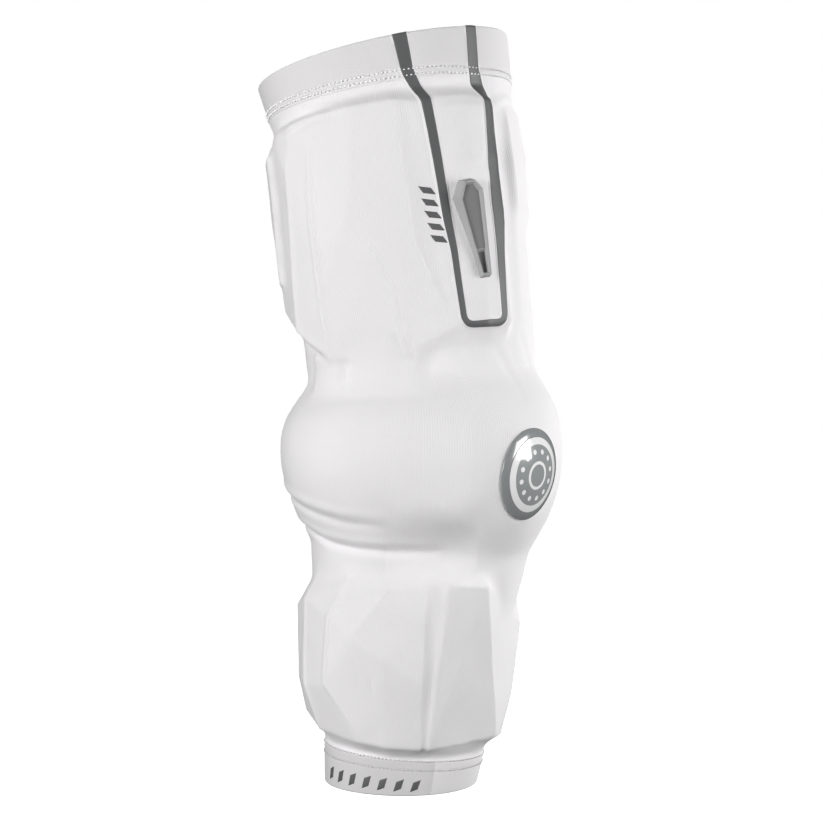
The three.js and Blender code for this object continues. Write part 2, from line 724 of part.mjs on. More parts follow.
function makeBadgeRing() {
  const inner = BADGE_RADIUS - BADGE_RING;
  return seatedBadge(badgeSolid([
    [inner, -BADGE_SINK],
    [BADGE_RADIUS, -BADGE_SINK],
    [BADGE_RADIUS, BADGE_HEIGHT - BADGE_EDGE],
    [BADGE_RADIUS - BADGE_EDGE, BADGE_HEIGHT],
    [inner, BADGE_HEIGHT],
  ]));
}

function makeBadgeDome() {
  const radius = BADGE_RADIUS - BADGE_RING - BADGE_GAP;
  const crown = DOME_RINGS.map((share) => [radius * share, BADGE_HEIGHT + BADGE_CROWN * (1 - share * share)]);
  const top = [0, BADGE_HEIGHT + BADGE_CROWN];
  return seatedBadge(badgeSolid([[0, -BADGE_SINK], [radius, -BADGE_SINK], ...crown, top]));
}

const group = new THREE.Group();
group.add(namedMesh("sleeve", makeSleeve(), "knit"));
group.add(namedMesh("upper_cuff", cuffSolid(0, UPPER_CUFF_LENGTH, 0).subtract(armHollow), "elastic"));
group.add(namedMesh("lower_cuff",
  cuffSolid(station("lower_cuff", 0), SLEEVE_END, 0).subtract(armHollow), "elastic"));
group.add(...makeFoams());
group.add(namedMesh("side_stripe", makeStripe(), "print"));
group.add(namedMesh("pull_tab", makeTab(), "rubber"));
group.add(namedMesh("badge_ring", makeBadgeRing(), "badge_ring"));
group.add(namedMesh("badge_dome", makeBadgeDome(), "badge_dome"));

export default group;
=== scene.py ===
"""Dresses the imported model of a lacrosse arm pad: knit, foam, cuffs, print, tab and badge."""
import math

import bpy
import numpy as np
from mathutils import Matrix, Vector
from mathutils.bvhtree import BVHTree


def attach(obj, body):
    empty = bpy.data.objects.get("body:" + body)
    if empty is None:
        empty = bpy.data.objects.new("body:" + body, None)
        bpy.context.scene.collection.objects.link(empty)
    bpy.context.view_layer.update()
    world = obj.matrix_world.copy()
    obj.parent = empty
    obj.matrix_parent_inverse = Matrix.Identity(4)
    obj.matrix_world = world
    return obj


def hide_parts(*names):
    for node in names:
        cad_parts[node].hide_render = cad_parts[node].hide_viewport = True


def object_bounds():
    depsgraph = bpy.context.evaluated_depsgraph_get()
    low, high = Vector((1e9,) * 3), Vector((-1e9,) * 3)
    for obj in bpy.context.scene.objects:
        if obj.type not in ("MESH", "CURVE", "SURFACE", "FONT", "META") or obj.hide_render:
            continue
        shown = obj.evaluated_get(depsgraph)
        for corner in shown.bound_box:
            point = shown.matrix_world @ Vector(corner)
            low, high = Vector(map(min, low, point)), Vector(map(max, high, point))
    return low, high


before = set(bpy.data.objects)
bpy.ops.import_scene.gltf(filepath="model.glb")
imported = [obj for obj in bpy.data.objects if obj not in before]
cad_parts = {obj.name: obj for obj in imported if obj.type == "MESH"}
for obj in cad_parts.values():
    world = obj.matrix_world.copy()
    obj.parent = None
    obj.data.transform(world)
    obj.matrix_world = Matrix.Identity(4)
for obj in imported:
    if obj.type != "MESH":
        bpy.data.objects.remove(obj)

bl_info = {
    "name": "Lacrosse arm pad",
    "version": (1, 0, 0),
    "blender": (4, 5, 0),
    "location": "3D View > Sidebar > Arm pad",
    "description": "Models the knit, foam, cuffs, print, tab and badge of an arm pad round its packed solids",
    "category": "Object",
}

CAD_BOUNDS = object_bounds()
MM = 0.001

# Lengths along the arm in millimetres, as in the solids: zone, length
ZONES = (("upper_cuff", 21), ("upper_arm", 140), ("elbow", 92), ("forearm", 104), ("lower_cuff", 17))
BICEP, ELBOW, WRIST = 130, 118, 80
DEPTH_SHARE = 0.94
SLEEVE_END = sum(length for _, length in ZONES)

# The bare sleeve's sections: zone, along, width, lean and tilt in degrees
SECTIONS = (
    ("upper_cuff", 0, BICEP, 12, 12),
    ("upper_cuff", 1, BICEP * 0.965, 10, 9.5),
    ("upper_arm", 0.25, BICEP * 0.955, 6.5, 7),
    ("upper_arm", 0.55, BICEP * 0.942, 6.3, 6),
    ("upper_arm", 0.8, ELBOW * 1.015, 7, 6),
    ("elbow", 0, ELBOW * 0.995, 3, 4),
    ("elbow", 0.5, ELBOW * 1.03, 0, 0),
    ("elbow", 1, ELBOW * 0.953, -5, -3.5),
    ("forearm", 0.3, WRIST * 1.3, -7.5, -5),
    ("forearm", 0.6, WRIST * 1.22, -3, -4.5),
    ("forearm", 0.9, WRIST * 1.07, -2, -4),
    ("forearm", 1, WRIST * 1.015, -5, -4),
    ("lower_cuff", 1, WRIST * 0.965, -6, -0.5),
)


def station(zone, along):
    """Millimetres from the upper rim to a share of a zone."""
    start = 0
    for name, length in ZONES:
        if name == zone:
            return start + along * length
        start += length
    raise ValueError(f"no zone {zone}")


def smooth_curve(places, values, at):
    """Values at places between rows, on a smooth curve through the rows."""
    places, values, at = (np.asarray(a, float) for a in (places, values, at))
    slopes = np.gradient(values, places)
    at = np.clip(at, places[0], places[-1])
    low = np.clip(np.searchsorted(places, at) - 1, 0, len(places) - 2)
    width = places[low + 1] - places[low]
    t = (at - places[low]) / width
    return ((1 + 2 * t) * (1 - t) ** 2 * values[low] + t * (1 - t) ** 2 * width * slopes[low]
            + t * t * (3 - 2 * t) * values[low + 1] + t * t * (t - 1) * width * slopes[low + 1])


PLACES = [station(row[0], row[1]) for row in SECTIONS]
WALK = np.arange(0, SLEEVE_END + 1.0)
WALK_LEAN = np.radians(smooth_curve(PLACES, [row[3] for row in SECTIONS], WALK[:-1] + 0.5))
AXIS_X = np.concatenate([[0], np.cumsum(np.sin(WALK_LEAN))])
AXIS_Z = np.concatenate([[0], -np.cumsum(np.cos(WALK_LEAN))])


def arm_frame(turn, s):
    """Points of the bare sleeve in millimetres and the directions straight out of it."""
    turn, s = np.broadcast_arrays(np.radians(np.asarray(turn, float)), np.asarray(s, float))
    half = smooth_curve(PLACES, [row[2] / 2 for row in SECTIONS], s)
    tilt = np.radians(smooth_curve(PLACES, [row[4] for row in SECTIONS], s))
    sin, cos = np.sin(turn), np.cos(turn)
    out = np.stack([sin * np.cos(tilt), -cos, sin * np.sin(tilt)], -1)
    points = np.stack([
        np.interp(s, WALK, AXIS_X) + half * out[..., 0],
        half * DEPTH_SHARE * out[..., 1],
        np.interp(s, WALK, AXIS_Z) + half * out[..., 2],
    ], -1)
    return points, out


def unit(vectors):
    """The same directions, each one long."""
    return vectors / np.maximum(np.linalg.norm(vectors, axis=-1, keepdims=True), 1e-9)


class ClothGrid:
    """A surface round the arm, as rows of points along it and columns round it."""

    def __init__(self, turns, stations, lifts):
        self.turns, self.stations = turns, stations
        base, out = arm_frame(turns[None, :], stations[:, None])
        self.points = base + out * lifts[..., None]
        round_step = np.roll(self.points, -1, 1) - np.roll(self.points, 1, 1)
        along_step = np.gradient(self.points, axis=0)
        self.normals = unit(np.cross(along_step, round_step))

    def at(self, turn, s, lift=0.0):
        """Points on the surface, or a height above it, in millimetres."""
        turn, s, lift = (np.asarray(a, float) for a in np.broadcast_arrays(turn, s, lift))
        column = (turn - self.turns[0]) / (self.turns[1] - self.turns[0])
        row = (s - self.stations[0]) / (self.stations[1] - self.stations[0])
        row = np.clip(row, 0, len(self.stations) - 1.001)
        c0, r0 = np.floor(column).astype(int), np.floor(row).astype(int)
        cf, rf = (column - c0)[..., None], (row - r0)[..., None]
        count = len(self.turns)
        found = []
        for grid in (self.points, self.normals):
            top = grid[r0, c0 % count] * (1 - cf) + grid[r0, (c0 + 1) % count] * cf
            low = grid[r0 + 1, c0 % count] * (1 - cf) + grid[r0 + 1, (c0 + 1) % count] * cf
            found.append(top * (1 - rf) + low * rf)
        return found[0] + unit(found[1]) * lift[..., None]


# Fineness of the skin's grid: columns round the arm and millimetres between its rows
COLUMNS = 288
ROW_STEP = 1.2
TURNS = -180 + 360 / COLUMNS * np.arange(COLUMNS)
STATIONS = np.linspace(0, SLEEVE_END, int(round(SLEEVE_END / ROW_STEP)) + 1)

# Millimetres round the sleeve for each degree of turn, taken at its mean radius
MEAN_RADIUS = 60
PER_TURN = math.radians(MEAN_RADIUS)

# Where rays to a solid start above the bare sleeve, and how far below it they end
RAY_REACH, RAY_PAST = 60.0, 5

# The cloth pass: every third place of the grid, its frames and the most that it may move in or out
CLOTH_STEP = 3
CLOTH_FRAMES = 16
CLOTH_SINK, CLOTH_RISE = 0.25, 1.4
CLOTH_SOFTENING = 3
CLOTH_SETTINGS = {
    "quality": 6, "mass": 0.2, "tension_stiffness": 12, "compression_stiffness": 12, "bending_stiffness": 0.4,
    "vertex_group_mass": "held", "pin_stiffness": 0.6,
}
# Share of its hold that the freest place gives up
CLOTH_FREEDOM = 0.9

shaped = {}


def write_map(mesh, places, name="cloth"):
    """Gives a mesh a map from one place for each vertex."""
    layer = mesh.uv_layers.get(name) or mesh.uv_layers.new(name=name)
    loops = np.zeros(len(mesh.loops), np.int32)
    mesh.loops.foreach_get("vertex_index", loops)
    layer.data.foreach_set("uv", np.asarray(places, np.float32)[loops].ravel())


def new_object(name, points, faces, uv=None):
    """A smooth mesh object from millimetre points."""
    mesh = bpy.data.meshes.new(name)
    mesh.from_pydata((np.asarray(points) * MM).tolist(), [], faces)
    if uv is not None:
        write_map(mesh, uv)
    mesh.validate()
    obj = bpy.data.objects.new(name, mesh)
    bpy.context.scene.collection.objects.link(obj)
    mesh.shade_smooth()
    return obj


def blur(grid, rounds):
    """Softens a grid that closes on itself round the arm."""
    for _ in range(rounds):
        grid = 0.5 * grid + 0.25 * (np.roll(grid, 1, 1) + np.roll(grid, -1, 1))
        padded = np.vstack([grid[:1], grid, grid[-1:]])
        grid = 0.5 * grid + 0.25 * (padded[:-2] + padded[2:])
    return grid


def smoothstep(low, high, value):
    """A soft step from 0 at the first limit to 1 at the second, in either direction."""
    t = np.clip((value - low) / (high - low), 0, 1)
    return t * t * (3 - 2 * t)


def between(limits, value):
    """One between the two middle limits, falling to nothing at the outer ones."""
    low, full_low, full_high, high = limits
    return smoothstep(low, full_low, value) * smoothstep(high, full_high, value)


def widened(low, high, before, after):
    """Limits that start and end a way outside two limits and are full a way inside them."""
    return low - before[0], low + before[1], high - after[1], high + after[0]


def cad_lifts(node):
    """Height of a CAD node's outer face above the bare sleeve, at each place of the grid."""
    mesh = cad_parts[node].data
    tree = BVHTree.FromPolygons([v.co / MM for v in mesh.vertices], [p.vertices for p in mesh.polygons])
    base, out = arm_frame(TURNS[None, :], STATIONS[:, None])
    lifts = np.zeros(base.shape[:2])
    for r in range(lifts.shape[0]):
        for c in range(lifts.shape[1]):
            away = Vector(out[r, c])
            hit = tree.ray_cast(Vector(base[r, c]) + away * RAY_REACH, -away, RAY_REACH + RAY_PAST)
            if hit[0] is not None:
                lifts[r, c] = RAY_REACH - hit[3]
    return lifts


# A fold's shape: how fast it fades to its ends, and its lip's place and breadth as shares of its width
END_FADE = 0.6
LIP_PLACE, LIP_BREADTH = 1.7, 1.1


def fold_relief(path, width, height, lip):
    """A crease or ridge along a path of turn and station, with a lip on its upper side."""
    x, y = np.meshgrid(TURNS * PER_TURN, STATIONS)
    nearest = np.full(x.shape, 1e9)
    side, along = np.zeros(x.shape), np.zeros(x.shape)
    corners = np.array([(turn * PER_TURN, s) for turn, s in path])
    steps = np.linalg.norm(np.diff(corners, axis=0), axis=1)
    total, run = steps.sum(), 0.0
    for (ax, ay), (bx, by), length in zip(corners[:-1], corners[1:], steps):
        ux, uy = (bx - ax) / length, (by - ay) / length
        t = np.clip((x - ax) * ux + (y - ay) * uy, 0, length)
        dx, dy = x - ax - t * ux, y - ay - t * uy
        distance = np.hypot(dx, dy)
        closer = distance < nearest
        nearest = np.where(closer, distance, nearest)
        side = np.where(closer, dx * uy - dy * ux, side)
        along = np.where(closer, (run + t) / total, along)
        run += length
    fade = np.clip(4 * along * (1 - along), 0, 1) ** END_FADE
    crease = np.exp(-(nearest / width) ** 2) * height
    above = np.exp(-((nearest / width - LIP_PLACE) / LIP_BREADTH) ** 2) * lip * (side > 0)
    return (crease + above) * fade


# Creases, hollows and swells in the knit: width and height in millimetres, the lip's height on the
# upper side, and the path as pairs of turn and station
FOLDS = (
    (2.0, -1.3, 0.6, ((-70, 30), (-56, 28), (-43, 28.2), (-24, 29.8))),
    (1.8, -1.0, 0.6, ((-52, 39), (-44, 35.5), (-36, 33.5), (-20, 33.8))),
    (2.2, -0.9, 0.5, ((-84, 38), (-70, 35), (-60, 36))),
    (2.4, -1.2, 0.7, ((-78, 139), (-66, 144.5), (-56, 148), (-45, 153.5))),
    (2.0, -1.1, 0.5, ((-11, 143), (-8, 150), (-5, 159))),
    (3.0, -0.45, 0.35, ((-74, 168), (-50, 165.5), (-30, 166), (2, 171))),
    (3.2, -0.4, 0.3, ((-60, 176), (-30, 173.5), (-5, 175.5), (22, 178))),
    (2.6, -1.5, 0.9, ((-104, 219), (-86, 224.5), (-69, 230.5), (-52, 235), (-36, 238), (-14, 239))),
    (2.3, -2.6, 0.9, ((-96, 241), (-72, 245.5), (-52, 250.5), (-33, 252), (-12, 251.6), (12, 250))),
    (12.0, -3.9, 0, ((-18, 254), (4, 252), (28, 247))),
    (9.0, 1.3, 0, ((-12, 230), (8, 230), (26, 226))),
    (2.6, -0.6, 0.3, ((37, 153), (44, 160), (47.5, 169), (46, 182))),
    (2.4, -0.45, 0.25, ((58, 146), (66, 157), (70, 170))),
    (1.6, -0.4, 0.1, ((-46, 284.5), (-40, 283), (-34, 282.4))),
    (2.0, -0.4, 0.3, ((-34, 265), (-37, 272), (-41, 281))),
    (1.8, -0.35, 0.2, ((-18, 313), (-18.5, 319), (-17, 326))),
    (2.6, -1.3, 0, ((-84, 353), (-60, 354), (-36, 353.5), (-10, 354))),
    (1.8, -0.4, 0.35, ((20, 353.5), (40, 353), (60, 352.5))),
    (2.2, -0.6, 0.4, ((76, 27), (66, 28), (54, 31.5), (45, 36))),
    (2.0, -0.4, 0.25, ((96, 30), (80, 33), (66, 34.5), (56, 38))),
    (3.2, -1.3, 0, ((15, 26), (20, 27), (30, 28), (40, 27), (43, 26))),
    (3.0, -0.6, 0.4, ((88, 152), (100, 158), (118, 160))),
    (3.0, -0.7, 0.5, ((92, 247), (106, 252), (126, 251))),
    (2.6, -0.5, 0.3, ((-150, 236), (-130, 232), (-112, 236))),
)

# Pressed edges of the pads that show through the knit, in the same columns
RIDGES = (
    (1.2, 0.8, 0, ((-52, 50), (-55, 80), (-62, 135), (-52, 150))),
    (1.2, 1.1, 0, ((-37, 45), (-40, 70), (-41, 88), (-41, 116), (-43, 150))),
    (1.4, 0.4, 0, ((2, 30), (1, 63), (3, 100), (6, 114), (14, 138))),
    (1.5, 0.5, 0, ((-26, 82), (-20, 95), (-14, 105), (-8, 126), (-6.5, 156))),
    (1.2, 0.9, 0, ((-69, 274), (-68.6, 290), (-67, 323), (-62.5, 346))),
    (1.2, 1.1, 0, ((-39, 272), (-44.5, 287), (-46, 320), (-36, 333), (-27, 345))),
    (1.4, 0.47, 0, ((-11, 267), (-18, 278), (-30, 296))),
    (1.6, 0.5, 0, ((4.6, 266), (7, 300), (7.8, 345))),
    (1.1, 0.4, 0, ((15.4, 266), (15.6, 300), (15.2, 346))),
    (1.2, 0.45, 0, ((36, 266), (48, 300), (64.5, 343))),
    (1.2, 0.45, 0, ((14.4, 266), (25, 265.5), (36, 266))),
)

# Low raised panels pressed in the pads: turn and station limits, height and edge in millimetres,
# then the radius of their corners and how much they narrow for each millimetre downwards
PANELS = (
    (18.6, 39.4, 35.5, 63.5, 2.1, 2.2),
    (20.5, 40.0, 67, 139, 0.35, 2.0),
)
PANEL_CORNER, PANEL_TAPER = 4.0, 0.05

# The slope between the forearm's two pads: the stations of its ends and how far it runs past them,
# the turns of its top edge there, the turn of its foot, and the share of the height that it falls
SLOPE_ENDS, SLOPE_PAST = (266, 345), (2, 6)
SLOPE_EDGE = (4.6, 7.4)
SLOPE_FOOT = 14.2
SLOPE_FALL = 0.56

# Places where the knit hangs clear of the hollow below a pad: turn and station limits, and how far
# it starts outside and inside each limit, in degrees at both sides and millimetres above and below
SLACK_PLACES = (
    (-33, -3, 148, 170),
    (-60, -40, 150, 168),
    (65, 88, 58, 140),
)
SLACK_SIDES, SLACK_ABOVE, SLACK_BELOW = (8, 2), (4, 2), (6, 2)

# Stations between which the elbow dome is smoothed, the knit may settle, and the foam is uneven
DOME_ZONE = (164, 172, 246, 254)
SETTLE_ZONE = (24, 30, 350, 356)
UNEVEN_ZONE = (20, 30, 348, 358)

# Knit hangs free where it clears the pads by these millimetres, and half free on the flanks, which
# start this many degrees from the arm's outer side, wherever it lies this low
CLEARANCE = (0.05, 0.6)
FLANK_MIDDLE, FLANK_TURNS = 20, (58, 72)
FLANK_FREEDOM, FLANK_HEIGHT = 0.5, (1.0, 0.2)

# The knit's rise beside each cuff: height, and where it starts and is full from the cuff's edge
UPPER_RISE = (0.85, 8, 0.5)
LOWER_RISE = (0.6, 3, 0.5)

# Slow unevenness of the foam: seed, size in millimetres, number of waves and share of the height
UNEVENNESS = (
    (3, 34, 26, 1.0),
    (8, 14, 30, 0.3),
)

# Radius of the arm that the stretched knit pulls towards, and millimetres left bare beside the cuffs
PULL_RADIUS = 62
BARE_END = 0.8


def panel_relief(turn_low, turn_high, s_low, s_high, height, edge):
    """A raised panel with rounded corners that narrows a little downwards."""
    x, y = np.meshgrid(TURNS * PER_TURN, STATIONS)
    half_x, half_y = (turn_high - turn_low) * PER_TURN / 2, (s_high - s_low) / 2
    x = x - (turn_low + turn_high) / 2 * PER_TURN
    y = y - (s_low + s_high) / 2
    narrow = half_x - PANEL_TAPER * (y + half_y)
    beyond = np.hypot(np.maximum(np.abs(x) - narrow + PANEL_CORNER, 0),
                      np.maximum(np.abs(y) - half_y + PANEL_CORNER, 0))
    return height * smoothstep(0, edge, PANEL_CORNER - beyond)


def wobble(seed, size, waves, height):
    """Slow unevenness of soft foam under knit."""
    draw = np.random.default_rng(seed)
    relief = np.zeros((len(STATIONS), len(TURNS)))
    most = round(2 * math.pi * MEAN_RADIUS / size)
    for _ in range(waves):
        round_waves = draw.integers(-most, most + 1)
        along_waves = draw.uniform(-1, 1) / size
        phase = draw.uniform(0, 2 * math.pi)
        relief += np.cos(np.radians(TURNS)[None, :] * round_waves
                         + 2 * math.pi * STATIONS[:, None] * along_waves + phase)
    return relief * height / math.sqrt(waves)


def drape(obstacle, rounds):
    """Knit under tension over a form: it touches the high places and bridges the hollows."""
    cloth = obstacle.copy()
    pull = ROW_STEP ** 2 / (4 * PULL_RADIUS)
    for _ in range(rounds):
        padded = np.vstack([cloth[:1], cloth, cloth[-1:]])
        around = np.roll(cloth, 1, 1) + np.roll(cloth, -1, 1)
        cloth = np.maximum(obstacle, (around + padded[:-2] + padded[2:]) / 4 - pull)
    return cloth


def slope_between(lifts):
    """Lays the knit in one slope from the forearm pad's edge down to the foot of the side pad."""
    sloped = lifts.copy()
    first, last = SLOPE_ENDS[0] - SLOPE_PAST[0], SLOPE_ENDS[1] + SLOPE_PAST[1]
    for row in np.flatnonzero((STATIONS > first) & (STATIONS < last)):
        edge = np.interp(STATIONS[row], SLOPE_ENDS, SLOPE_EDGE)
        high = np.interp(edge, TURNS, lifts[row])
        share = (TURNS - edge) / (SLOPE_FOOT - edge)
        line = high * (1 - SLOPE_FALL * share)
        inside = (share >= 0) & (share <= 1)
        sloped[row, inside] = np.maximum(lifts[row], line)[inside]
    return sloped


def ring_faces(rows, columns, start=0, inward=False):
    """Quads of a grid that closes on itself round the arm, facing outward or inward."""
    r, c = np.meshgrid(np.arange(rows - 1), np.arange(columns), indexing="ij")
    here, right = start + r * columns + c, start + r * columns + (c + 1) % columns
    corners = [here, right, right + columns, here + columns] if inward else [
        here, here + columns, right + columns, right]
    return np.stack(corners, -1).reshape(-1, 4).tolist()


def settle(lifts, hanging, knit):
    """Lets a coarse copy of the knit settle as cloth, and gives how far it moves in or out."""
    turns, stations = TURNS[::CLOTH_STEP], STATIONS[::CLOTH_STEP]
    grid = ClothGrid(turns, stations, lifts[::CLOTH_STEP, ::CLOTH_STEP])
    mesh = bpy.data.meshes.new("cloth")
    mesh.from_pydata((grid.points.reshape(-1, 3) * MM).tolist(), [], ring_faces(len(stations), len(turns)))
    obj = bpy.data.objects.new("cloth", mesh)
    bpy.context.scene.collection.objects.link(obj)
    held = obj.vertex_groups.new(name="held")
    free = hanging[::CLOTH_STEP, ::CLOTH_STEP]
    for index, share in enumerate(free.ravel()):
        held.add([index], 1 - CLOTH_FREEDOM * float(share), "REPLACE")
    cloth = obj.modifiers.new("cloth", "CLOTH")
    for key, value in CLOTH_SETTINGS.items():
        setattr(cloth.settings, key, value)
    cloth.settings.shrink_min = -knit.slack
    cloth.settings.effector_weights.gravity = 0
    cloth.collision_settings.use_collision = False
    cloth.point_cache.frame_end = CLOTH_FRAMES
    scene = bpy.context.scene
    for number in range(1, CLOTH_FRAMES + 1):
        scene.frame_set(number)
    settled = obj.evaluated_get(bpy.context.evaluated_depsgraph_get()).to_mesh()
    places = np.zeros(len(settled.vertices) * 3)
    settled.vertices.foreach_get("co", places)
    bpy.data.objects.remove(obj)
    bpy.data.meshes.remove(mesh)
    scene.frame_set(1)
    _, out = arm_frame(turns[None, :], stations[:, None])
    moved = ((places.reshape(grid.points.shape) / MM - grid.points) * unit(out)).sum(-1)
    moved = blur(np.clip(moved, -CLOTH_SINK, CLOTH_RISE) * free, CLOTH_SOFTENING)
    round_again = np.concatenate([turns, turns[:1] + 360])
    fine = np.stack([np.interp(TURNS, round_again, np.append(row, row[0])) for row in moved])
    return np.stack([np.interp(STATIONS, stations, column) for column in fine.T], -1)


def meet_cuffs(lifts):
    """Raises the knit beside each cuff's edge, so that it runs up to the band."""
    raised = lifts
    for edge, side, (height, far, near) in (
            (station("upper_arm", 0), 1, UPPER_RISE), (station("forearm", 1), -1, LOWER_RISE)):
        beside = height * smoothstep(edge + side * far, edge + side * near, STATIONS)
        raised = np.maximum(raised, beside[:, None])
    return raised


def loose_places():
    """How far each place of the grid hangs clear of a hollow, from 0 to 1."""
    loose = np.zeros((len(STATIONS), len(TURNS)))
    for turn_low, turn_high, s_low, s_high in SLACK_PLACES:
        across = between(widened(turn_low, turn_high, SLACK_SIDES, SLACK_SIDES), TURNS)
        along = between(widened(s_low, s_high, SLACK_ABOVE, SLACK_BELOW), STATIONS)
        loose = np.maximum(loose, along[:, None] * across[None, :])
    return loose


def knit_lifts(knit):
    """Height of the knit's outer face above the bare sleeve."""
    lifts = cad_lifts("sleeve")
    covered = (STATIONS > station("upper_arm", 0) + BARE_END) & (STATIONS < station("forearm", 1) - BARE_END)
    lifts[~covered] = 0
    lifts = np.maximum(lifts, 0)
    # The elbow cap's facets are smoothed away, the other pads keep their edges
    rounded = blur(lifts, knit.cap_softness)
    lifts = lifts + (rounded - lifts) * between(DOME_ZONE, STATIONS)[:, None]
    for panel in PANELS:
        lifts += panel_relief(*panel)
    touched = slope_between(lifts)
    tight = drape(touched, knit.bridging)
    slack = drape(tight, knit.slack_bridging)
    lifts = tight + (slack - tight) * loose_places()
    hanging = blur(smoothstep(*CLEARANCE, lifts - touched), CLOTH_SOFTENING)
    flanks = smoothstep(*FLANK_TURNS, np.abs((TURNS - FLANK_MIDDLE + 180) % 360 - 180))
    hanging = np.maximum(hanging, FLANK_FREEDOM * flanks[None, :] * smoothstep(*FLANK_HEIGHT, touched))
    hanging *= between(SETTLE_ZONE, STATIONS)[:, None]
    lifts = meet_cuffs(lifts)
    for width, height, lip, path in FOLDS + RIDGES:
        lifts += fold_relief(path, width, height, lip)
    lifts += settle(lifts, hanging, knit)
    uneven = sum(wobble(*row, share * knit.wobble / MM) for *row, share in UNEVENNESS)
    return lifts + uneven * between(UNEVEN_ZONE, STATIONS)[:, None]


class KnitSettings(bpy.types.PropertyGroup):
    thickness: bpy.props.FloatProperty(
        name="Thickness", description="Thickness of the knit", default=0.0012, min=0.0005, max=0.003,
        subtype="DISTANCE", unit="LENGTH")
    bridging: bpy.props.IntProperty(
        name="Bridging", description="Rounds of tension that pull the knit across hollows", default=12,
        min=0, max=400)
    slack_bridging: bpy.props.IntProperty(
        name="Slack bridging", description="More rounds of tension where the knit hangs clear of a hollow",
        default=260, min=0, max=1000)
    slack: bpy.props.FloatProperty(
        name="Slack", description="Share by which the hanging knit is longer than its path", default=0.015,
        min=-0.1, max=0.1)
    cap_softness: bpy.props.IntProperty(
        name="Cap softness", description="Rounds of smoothing on the elbow dome", default=40, min=0, max=200)
    wobble: bpy.props.FloatProperty(
        name="Unevenness", description="Height of the slow unevenness of the foam", default=0.00018, min=0,
        max=0.001, subtype="DISTANCE", unit="LENGTH")
    colour: bpy.props.FloatVectorProperty(
        name="Colour", description="Colour of the knit", default=(0.865, 0.852, 0.862), min=0, max=1,
        subtype="COLOR")


class TrimSettings(bpy.types.PropertyGroup):
    elastic_colour: bpy.props.FloatVectorProperty(
        name="Cuff colour", description="Colour of the elastic cuffs", default=(0.77, 0.757, 0.765), min=0,
        max=1, subtype="COLOR")
    thread_colour: bpy.props.FloatVectorProperty(
        name="Thread colour", description="Colour of the sewing thread", default=(0.93, 0.93, 0.94), min=0,
        max=1, subtype="COLOR")
    # The lower cuff's thread is darker as painted shade between its stitches
    lower_thread_painted_shade: bpy.props.FloatVectorProperty(
        name="Lower thread colour", description="Colour of the thread on the lower cuff",
        default=(0.66, 0.65, 0.66), min=0, max=1, subtype="COLOR")
    print_colour: bpy.props.FloatVectorProperty(
        name="Print colour", description="Colour of the printed stripe", default=(0.108, 0.11, 0.112), min=0,
        max=1, subtype="COLOR")
    rubber_colour: bpy.props.FloatVectorProperty(
        name="Tab colour", description="Colour of the moulded pull tab", default=(0.4, 0.4, 0.405), min=0,
        max=1, subtype="COLOR")
    badge_colour: bpy.props.FloatVectorProperty(
        name="Badge colour", description="Grey of the badge", default=(0.27, 0.285, 0.285), min=0, max=1,
        subtype="COLOR")


class StageSettings(bpy.types.PropertyGroup):
    light: bpy.props.FloatProperty(
        name="Surrounding light", description="Strength of the light from all round", default=0.05, min=0,
        max=3)
    floor_drop: bpy.props.FloatProperty(
        name="Floor", description="Gap between the lower cuff and the floor", default=0.05, min=0, max=1,
        subtype="DISTANCE", unit="LENGTH")


def new_material(name):
    """An empty node material with its shader and output."""
    material = bpy.data.materials.new(name)
    material.use_nodes = True
    tree = material.node_tree
    return material, tree, tree.nodes["Principled BSDF"]


def add_node(tree, kind, inputs=None, **settings):
    """A node with its settings, and with each named input linked to a socket or set to a value."""
    made = tree.nodes.new(kind)
    for key, value in settings.items():
        setattr(made, key, value)
    for key, value in (inputs or {}).items():
        if isinstance(value, bpy.types.NodeSocket):
            tree.links.new(value, made.inputs[key])
        else:
            made.inputs[key].default_value = value
    return made


def maths(tree, operation, first, second=0.0, third=0.0):
    """The output of a Math node whose inputs are sockets or numbers."""
    return add_node(tree, "ShaderNodeMath", {0: first, 1: second, 2: third}, operation=operation).outputs[0]


def distance(tree, x, y):
    """Length of the way given by two sockets."""
    squares = [maths(tree, "MULTIPLY", side, side) for side in (x, y)]
    return maths(tree, "SQRT", maths(tree, "ADD", *squares))


def colour(values, share=1.0):
    """A socket's colour with its alpha, brighter or darker by a share."""
    return (*[value * share for value in values], 1.0)


def group_tree(name, inputs, outputs):
    """A shader node group with named sockets, and its two ends."""
    tree = bpy.data.node_groups.new(name, "ShaderNodeTree")
    for label, kind, default in inputs:
        socket = tree.interface.new_socket(label, in_out="INPUT", socket_type=kind)
        if default is not None:
            socket.default_value = default
    for label, kind in outputs:
        tree.interface.new_socket(label, in_out="OUTPUT", socket_type=kind)
    return tree, tree.nodes.new("NodeGroupInput"), tree.nodes.new("NodeGroupOutput")


# The knit's look: how far a loop leans across its rib, a loop's height beside the rib's, the scale
# of the fuzz, and how much darker the knit is painted between its ribs, as painted shade in the valleys
LOOP_LEAN, LOOP_HEIGHT = 0.45, 0.22
FUZZ_SCALE = 2600.0
RIB_PAINTED_SHADE = 0.045


